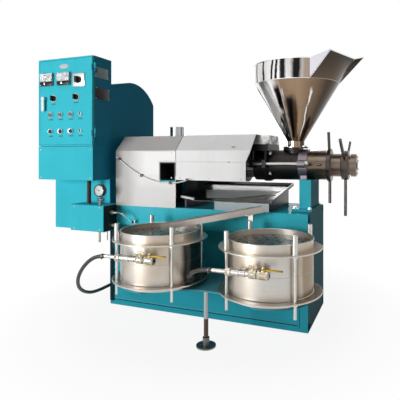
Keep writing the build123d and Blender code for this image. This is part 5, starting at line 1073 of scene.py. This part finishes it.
class PRESS_OT_valves(bpy.types.Operator):
    """Hexagon unions, valve bodies, hose barbs and stems on the drain pipes"""
    bl_idname = "press.valves"
    bl_label = "Valve trim"

    def execute(self, context):
        work = Shape("valve_trim")
        for run in PIPES.values():
            axis = Vector((0, PIPE_Y, run["z"]))

            def collar(start, stop, radius, name, sides=32, lip=0.0015):
                """Ring on the pipe with a softened rim."""
                work.turned([(start, radius - lip), (start + lip, radius), (stop - lip, radius), (stop, radius - lip)],
                            axis, RIGHT, name, sides, sides > 8)

            union, nozzle, end = run["tail"] + 0.070, run["nozzle"], run["end"]
            for x in (0.030, 0.040, 0.050):
                collar(run["tail"] + x, run["tail"] + x + 0.007, 0.0105, "pipe_steel")
            collar(union - 0.001, union + 0.016, 0.0212, "brass_fitting", 6, 0.002)
            collar(union + 0.016, union + 0.025, 0.0195, "pipe_steel")
            for x in (nozzle - 0.022, nozzle + 0.010):
                collar(x, x + 0.012, 0.0158, "pipe_steel")
            work.turned([(-0.004, 0.0158), (-0.010, 0.0160), (-0.022, 0.0160), (-0.024, 0.0145), (-0.024, 0.0100)],
                        axis + RIGHT * nozzle, FRONT, "pipe_steel", 32)
            for valve, half in ((run["wing"], 0.0167), (run["valve"], 0.025)):
                low, high = valve - half, min(valve + half, end)
                collar(low - 0.002, low + 0.010, 0.0222, "brass_fitting", 6, 0.002)
                collar(high - 0.010, high + 0.0005, 0.0222, "brass_fitting", 6, 0.002)
                collar(low + 0.010, high - 0.010, 0.0205, "brass_fitting")
                work.turned([(0.016, 0.0105), (0.0195, 0.0110), (0.0215, 0.0100), (0.0215, 0.0060)],
                            axis + RIGHT * valve, UP, "brass_fitting", 24)
            work.turned([(0, 0.0092), (0, 0.0145), (0.001, 0.0150), (0.0015, 0.0145), (0.0015, 0.0092)],
                        axis + RIGHT * (end - 0.0008), RIGHT, "pipe_steel", 32)
        work.place("frame", "stainless")
        for side, run in PIPES.items():
            lever, (low, high) = Shape(f"lever_{side}_sleeve"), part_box(f"lever_{side}")
            lever.block((run["valve"] + 0.022, PIPE_Y - 0.0085, low.z - 0.001),
                        (run["valve"] + 0.091, PIPE_Y + 0.0085, low.z + 0.0050), "lever_sleeve", 0.0022)
            lever.hexagon((run["valve"], PIPE_Y, high.z - 0.0005), UP, 0.0060, 0.006)
            lever.place(f"tap_{side}", "yellow_lever")
            wing, high = Shape(f"wing_{side}_screw"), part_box(f"wing_{side}")[1]
            wing.hexagon((run["wing"], PIPE_Y, high.z - 0.0005), UP, 0.0042, 0.004)
            wing.place(f"needle_{side}", "brass_fittings")
        return {"FINISHED"}


class PRESS_OT_fasteners(bpy.types.Operator):
    """Bolts of the press body, base, pump box and column, with painted shade up the base's front-left corner and a
    painted shade line under a painted highlight line along its sill
    """
    bl_idname = "press.fasteners"
    bl_label = "Fasteners and seams"

    def execute(self, context):
        work, bolt, head = Shape("frame_fasteners"), context.scene.press_trim.bolt, context.scene.press_trim.screw
        block_face, housing_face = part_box("cage_end_block")[1].x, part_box("bearing_housing")[0].x
        for y in (-0.09184, 0.09184):
            for z in (AXIS_Z - 0.052, AXIS_Z + 0.072):
                work.hexagon((block_face, y, z), RIGHT, bolt, 0.012)
        for y, z in around(8, 0.084, 22.5):
            if not (abs(z) < 0.04 and abs(y) > 0.075):
                work.hexagon((housing_face, y, AXIS_Z + z), -RIGHT, bolt * 0.8, 0.010)
        low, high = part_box("support_column")
        for x in (low.x + 0.016, high.x - 0.014):
            for y in (low.y + 0.014, high.y - 0.014):
                work.hexagon((x, y, BASE_HIGH.z + 0.014), UP, bolt, 0.012)
        for x in (PUMP_LOW.x + 0.030, PUMP_HIGH.x - 0.030):
            for z in (PUMP_LOW.z + 0.015, PUMP_HIGH.z - 0.015):
                work.screw((x, PUMP_LOW.y, z), FRONT, head)
        for x in (-0.60, -0.30, 0.0, 0.30, 0.60):
            work.screw((x, BASE_LOW.y, 0.2900), FRONT, head)
        # Painted shade: a dark strip up the base's front-left corner; along the sill, a dark line of painted shade
        # under a pale line of painted highlight.
        left, back = BASE_LOW.x, BASE_LOW.y + 0.001
        work.block((left, BASE_LOW.y - 0.0008, 0.024), (left + 0.034, back, 0.540), "deep_teal", 0.0005)
        for z, name in ((0.036, "deep_teal"), (0.045, "pale_teal")):
            work.block((left + 0.036, BASE_LOW.y - 0.0007, z - 0.0022), (BASE_HIGH.x - 0.060, back, z + 0.0022),
                       name, 0.0004)
        cap, end = Vector((CAP_HIGH.x, 0, AXIS_Z)), Shape("cap_bolts")
        for y, z in around(6, 0.050, 30):
            end.hexagon(cap + Vector((-0.0005, y, z)), RIGHT, 0.0065, 0.0075)
        end.turned([(-0.001, 0.030), (0.0025, 0.029), (0.003, 0.020), (0.001, 0.018), (0.001, 0)], cap, RIGHT,
                   "dark_casting", 40)
        end.place("carriage", "machined_steel")
        work.place("frame", "machined_steel")
        return {"FINISHED"}


class PRESS_OT_stage(bpy.types.Operator):
    """Pale floor, soft light and the camera"""
    bl_idname = "press.stage"
    bl_label = "Stage"

    def execute(self, context):
        scene, stage = context.scene, context.scene.press_stage
        floor_mesh = bpy.data.meshes.new("floor")
        floor_mesh.from_pydata([(FLOOR_REACH * x, FLOOR_REACH * y, FLOOR_Z)
                                for x, y in ((-1, -1), (1, -1), (1, 1), (-1, 1))], [], [(0, 1, 2, 3)])
        floor = bpy.data.objects.new("floor", floor_mesh)
        scene.collection.objects.link(floor)
        ground = Finish("pale_floor", (0.60, 0.60, 0.60), 0.7, specular=0.0)
        away = ground.node("ShaderNodeVectorMath", {"operation": "LENGTH"}, {0: ground.place}, "Value")
        shown = ground.ray("Camera").most(ground.ray("Glossy")).most(ground.ray("Transmission"))
        lit = ground.node("ShaderNodeEmission", {}, {"Color": (1, 1, 1, 1), "Strength": 1.0})
        bare = Value(ground, ground.shader.outputs[0])
        surface = ground.node("ShaderNodeMixShader", {}, {
            0: shown * (ground.band(away, 0.8, 1.4) * 0.09 + 0.91), 1: bare, 2: lit})
        ground.plug(surface, ground.tree.nodes["Material Output"].inputs["Surface"])
        floor_mesh.materials.append(ground.material)

        world = bpy.data.worlds.new("studio")
        scene.world = world
        world.use_nodes = True
        sky = Nodes(world.node_tree)
        metal = sky.node("ShaderNodeMix", {}, {0: sky.ray("Glossy"), 2: stage.ambient, 3: stage.mirrored})
        level = sky.node("ShaderNodeMix", {}, {0: sky.ray("Camera").most(sky.ray("Transmission")), 2: metal, 3: 1.0})
        back = world.node_tree.nodes["Background"]
        sky.plug((1, 1, 1, 1), back.inputs["Color"])
        sky.plug(level, back.inputs["Strength"])
        for name, (place, aim, size) in LAMP_PLACES.items():
            data = bpy.data.lights.new(name, "AREA")
            data.energy, data.shape, data.size = getattr(stage, name), "SQUARE", size
            lamp = bpy.data.objects.new(name, data)
            scene.collection.objects.link(lamp)
            lamp.location = place
            lamp.rotation_euler = (Vector(aim) - Vector(place)).to_track_quat("-Z", "Y").to_euler()

        view = bpy.data.cameras.new("view")
        view.lens, view.sensor_width = CAMERA_LENS, 36.0
        view.shift_x, view.shift_y = CAMERA_SHIFT
        camera = bpy.data.objects.new("view", view)
        scene.collection.objects.link(camera)
        camera.location = CAMERA_PLACE
        camera.rotation_euler = (math.pi / 2, 0, stage.yaw)
        scene.camera = camera
        scene.view_settings.view_transform = "Standard"
        return {"FINISHED"}


class PRESS_PT_panel(bpy.types.Panel):
    """Sidebar panel that lists the steps"""
    bl_idname = "PRESS_PT_panel"
    bl_label = "Oil Press"
    bl_space_type = "VIEW_3D"
    bl_region_type = "UI"
    bl_category = "Oil Press"

    def draw(self, context):
        for group in (context.scene.press_finishes, context.scene.press_trim, context.scene.press_stage):
            for name in group.__annotations__:
                self.layout.prop(group, name)
        for step in OPERATORS:
            self.layout.operator(step.bl_idname)


OPERATORS = (PRESS_OT_stage, PRESS_OT_hoses, PRESS_OT_finishes, PRESS_OT_cabinet, PRESS_OT_gauge, PRESS_OT_hopper,
             PRESS_OT_guards, PRESS_OT_tray, PRESS_OT_drums, PRESS_OT_valves, PRESS_OT_fasteners)
CLASSES = (PressFinishes, PressTrim, PressStage, *OPERATORS, PRESS_PT_panel)


def register():
    for item in CLASSES:
        bpy.utils.register_class(item)
    bpy.types.Scene.press_finishes = PointerProperty(type=PressFinishes)
    bpy.types.Scene.press_trim = PointerProperty(type=PressTrim)
    bpy.types.Scene.press_stage = PointerProperty(type=PressStage)


def unregister():
    del bpy.types.Scene.press_finishes, bpy.types.Scene.press_trim, bpy.types.Scene.press_stage
    for item in reversed(CLASSES):
        bpy.utils.unregister_class(item)


def main():
    register()
    bpy.ops.press.stage()
    bpy.ops.press.hoses()
    bpy.ops.press.finishes()
    bpy.ops.press.cabinet()
    bpy.ops.press.gauge()
    bpy.ops.press.hopper()
    bpy.ops.press.guards()
    bpy.ops.press.tray()
    bpy.ops.press.drums()
    bpy.ops.press.valves()
    bpy.ops.press.fasteners()


if __name__ == "__main__":
    main()
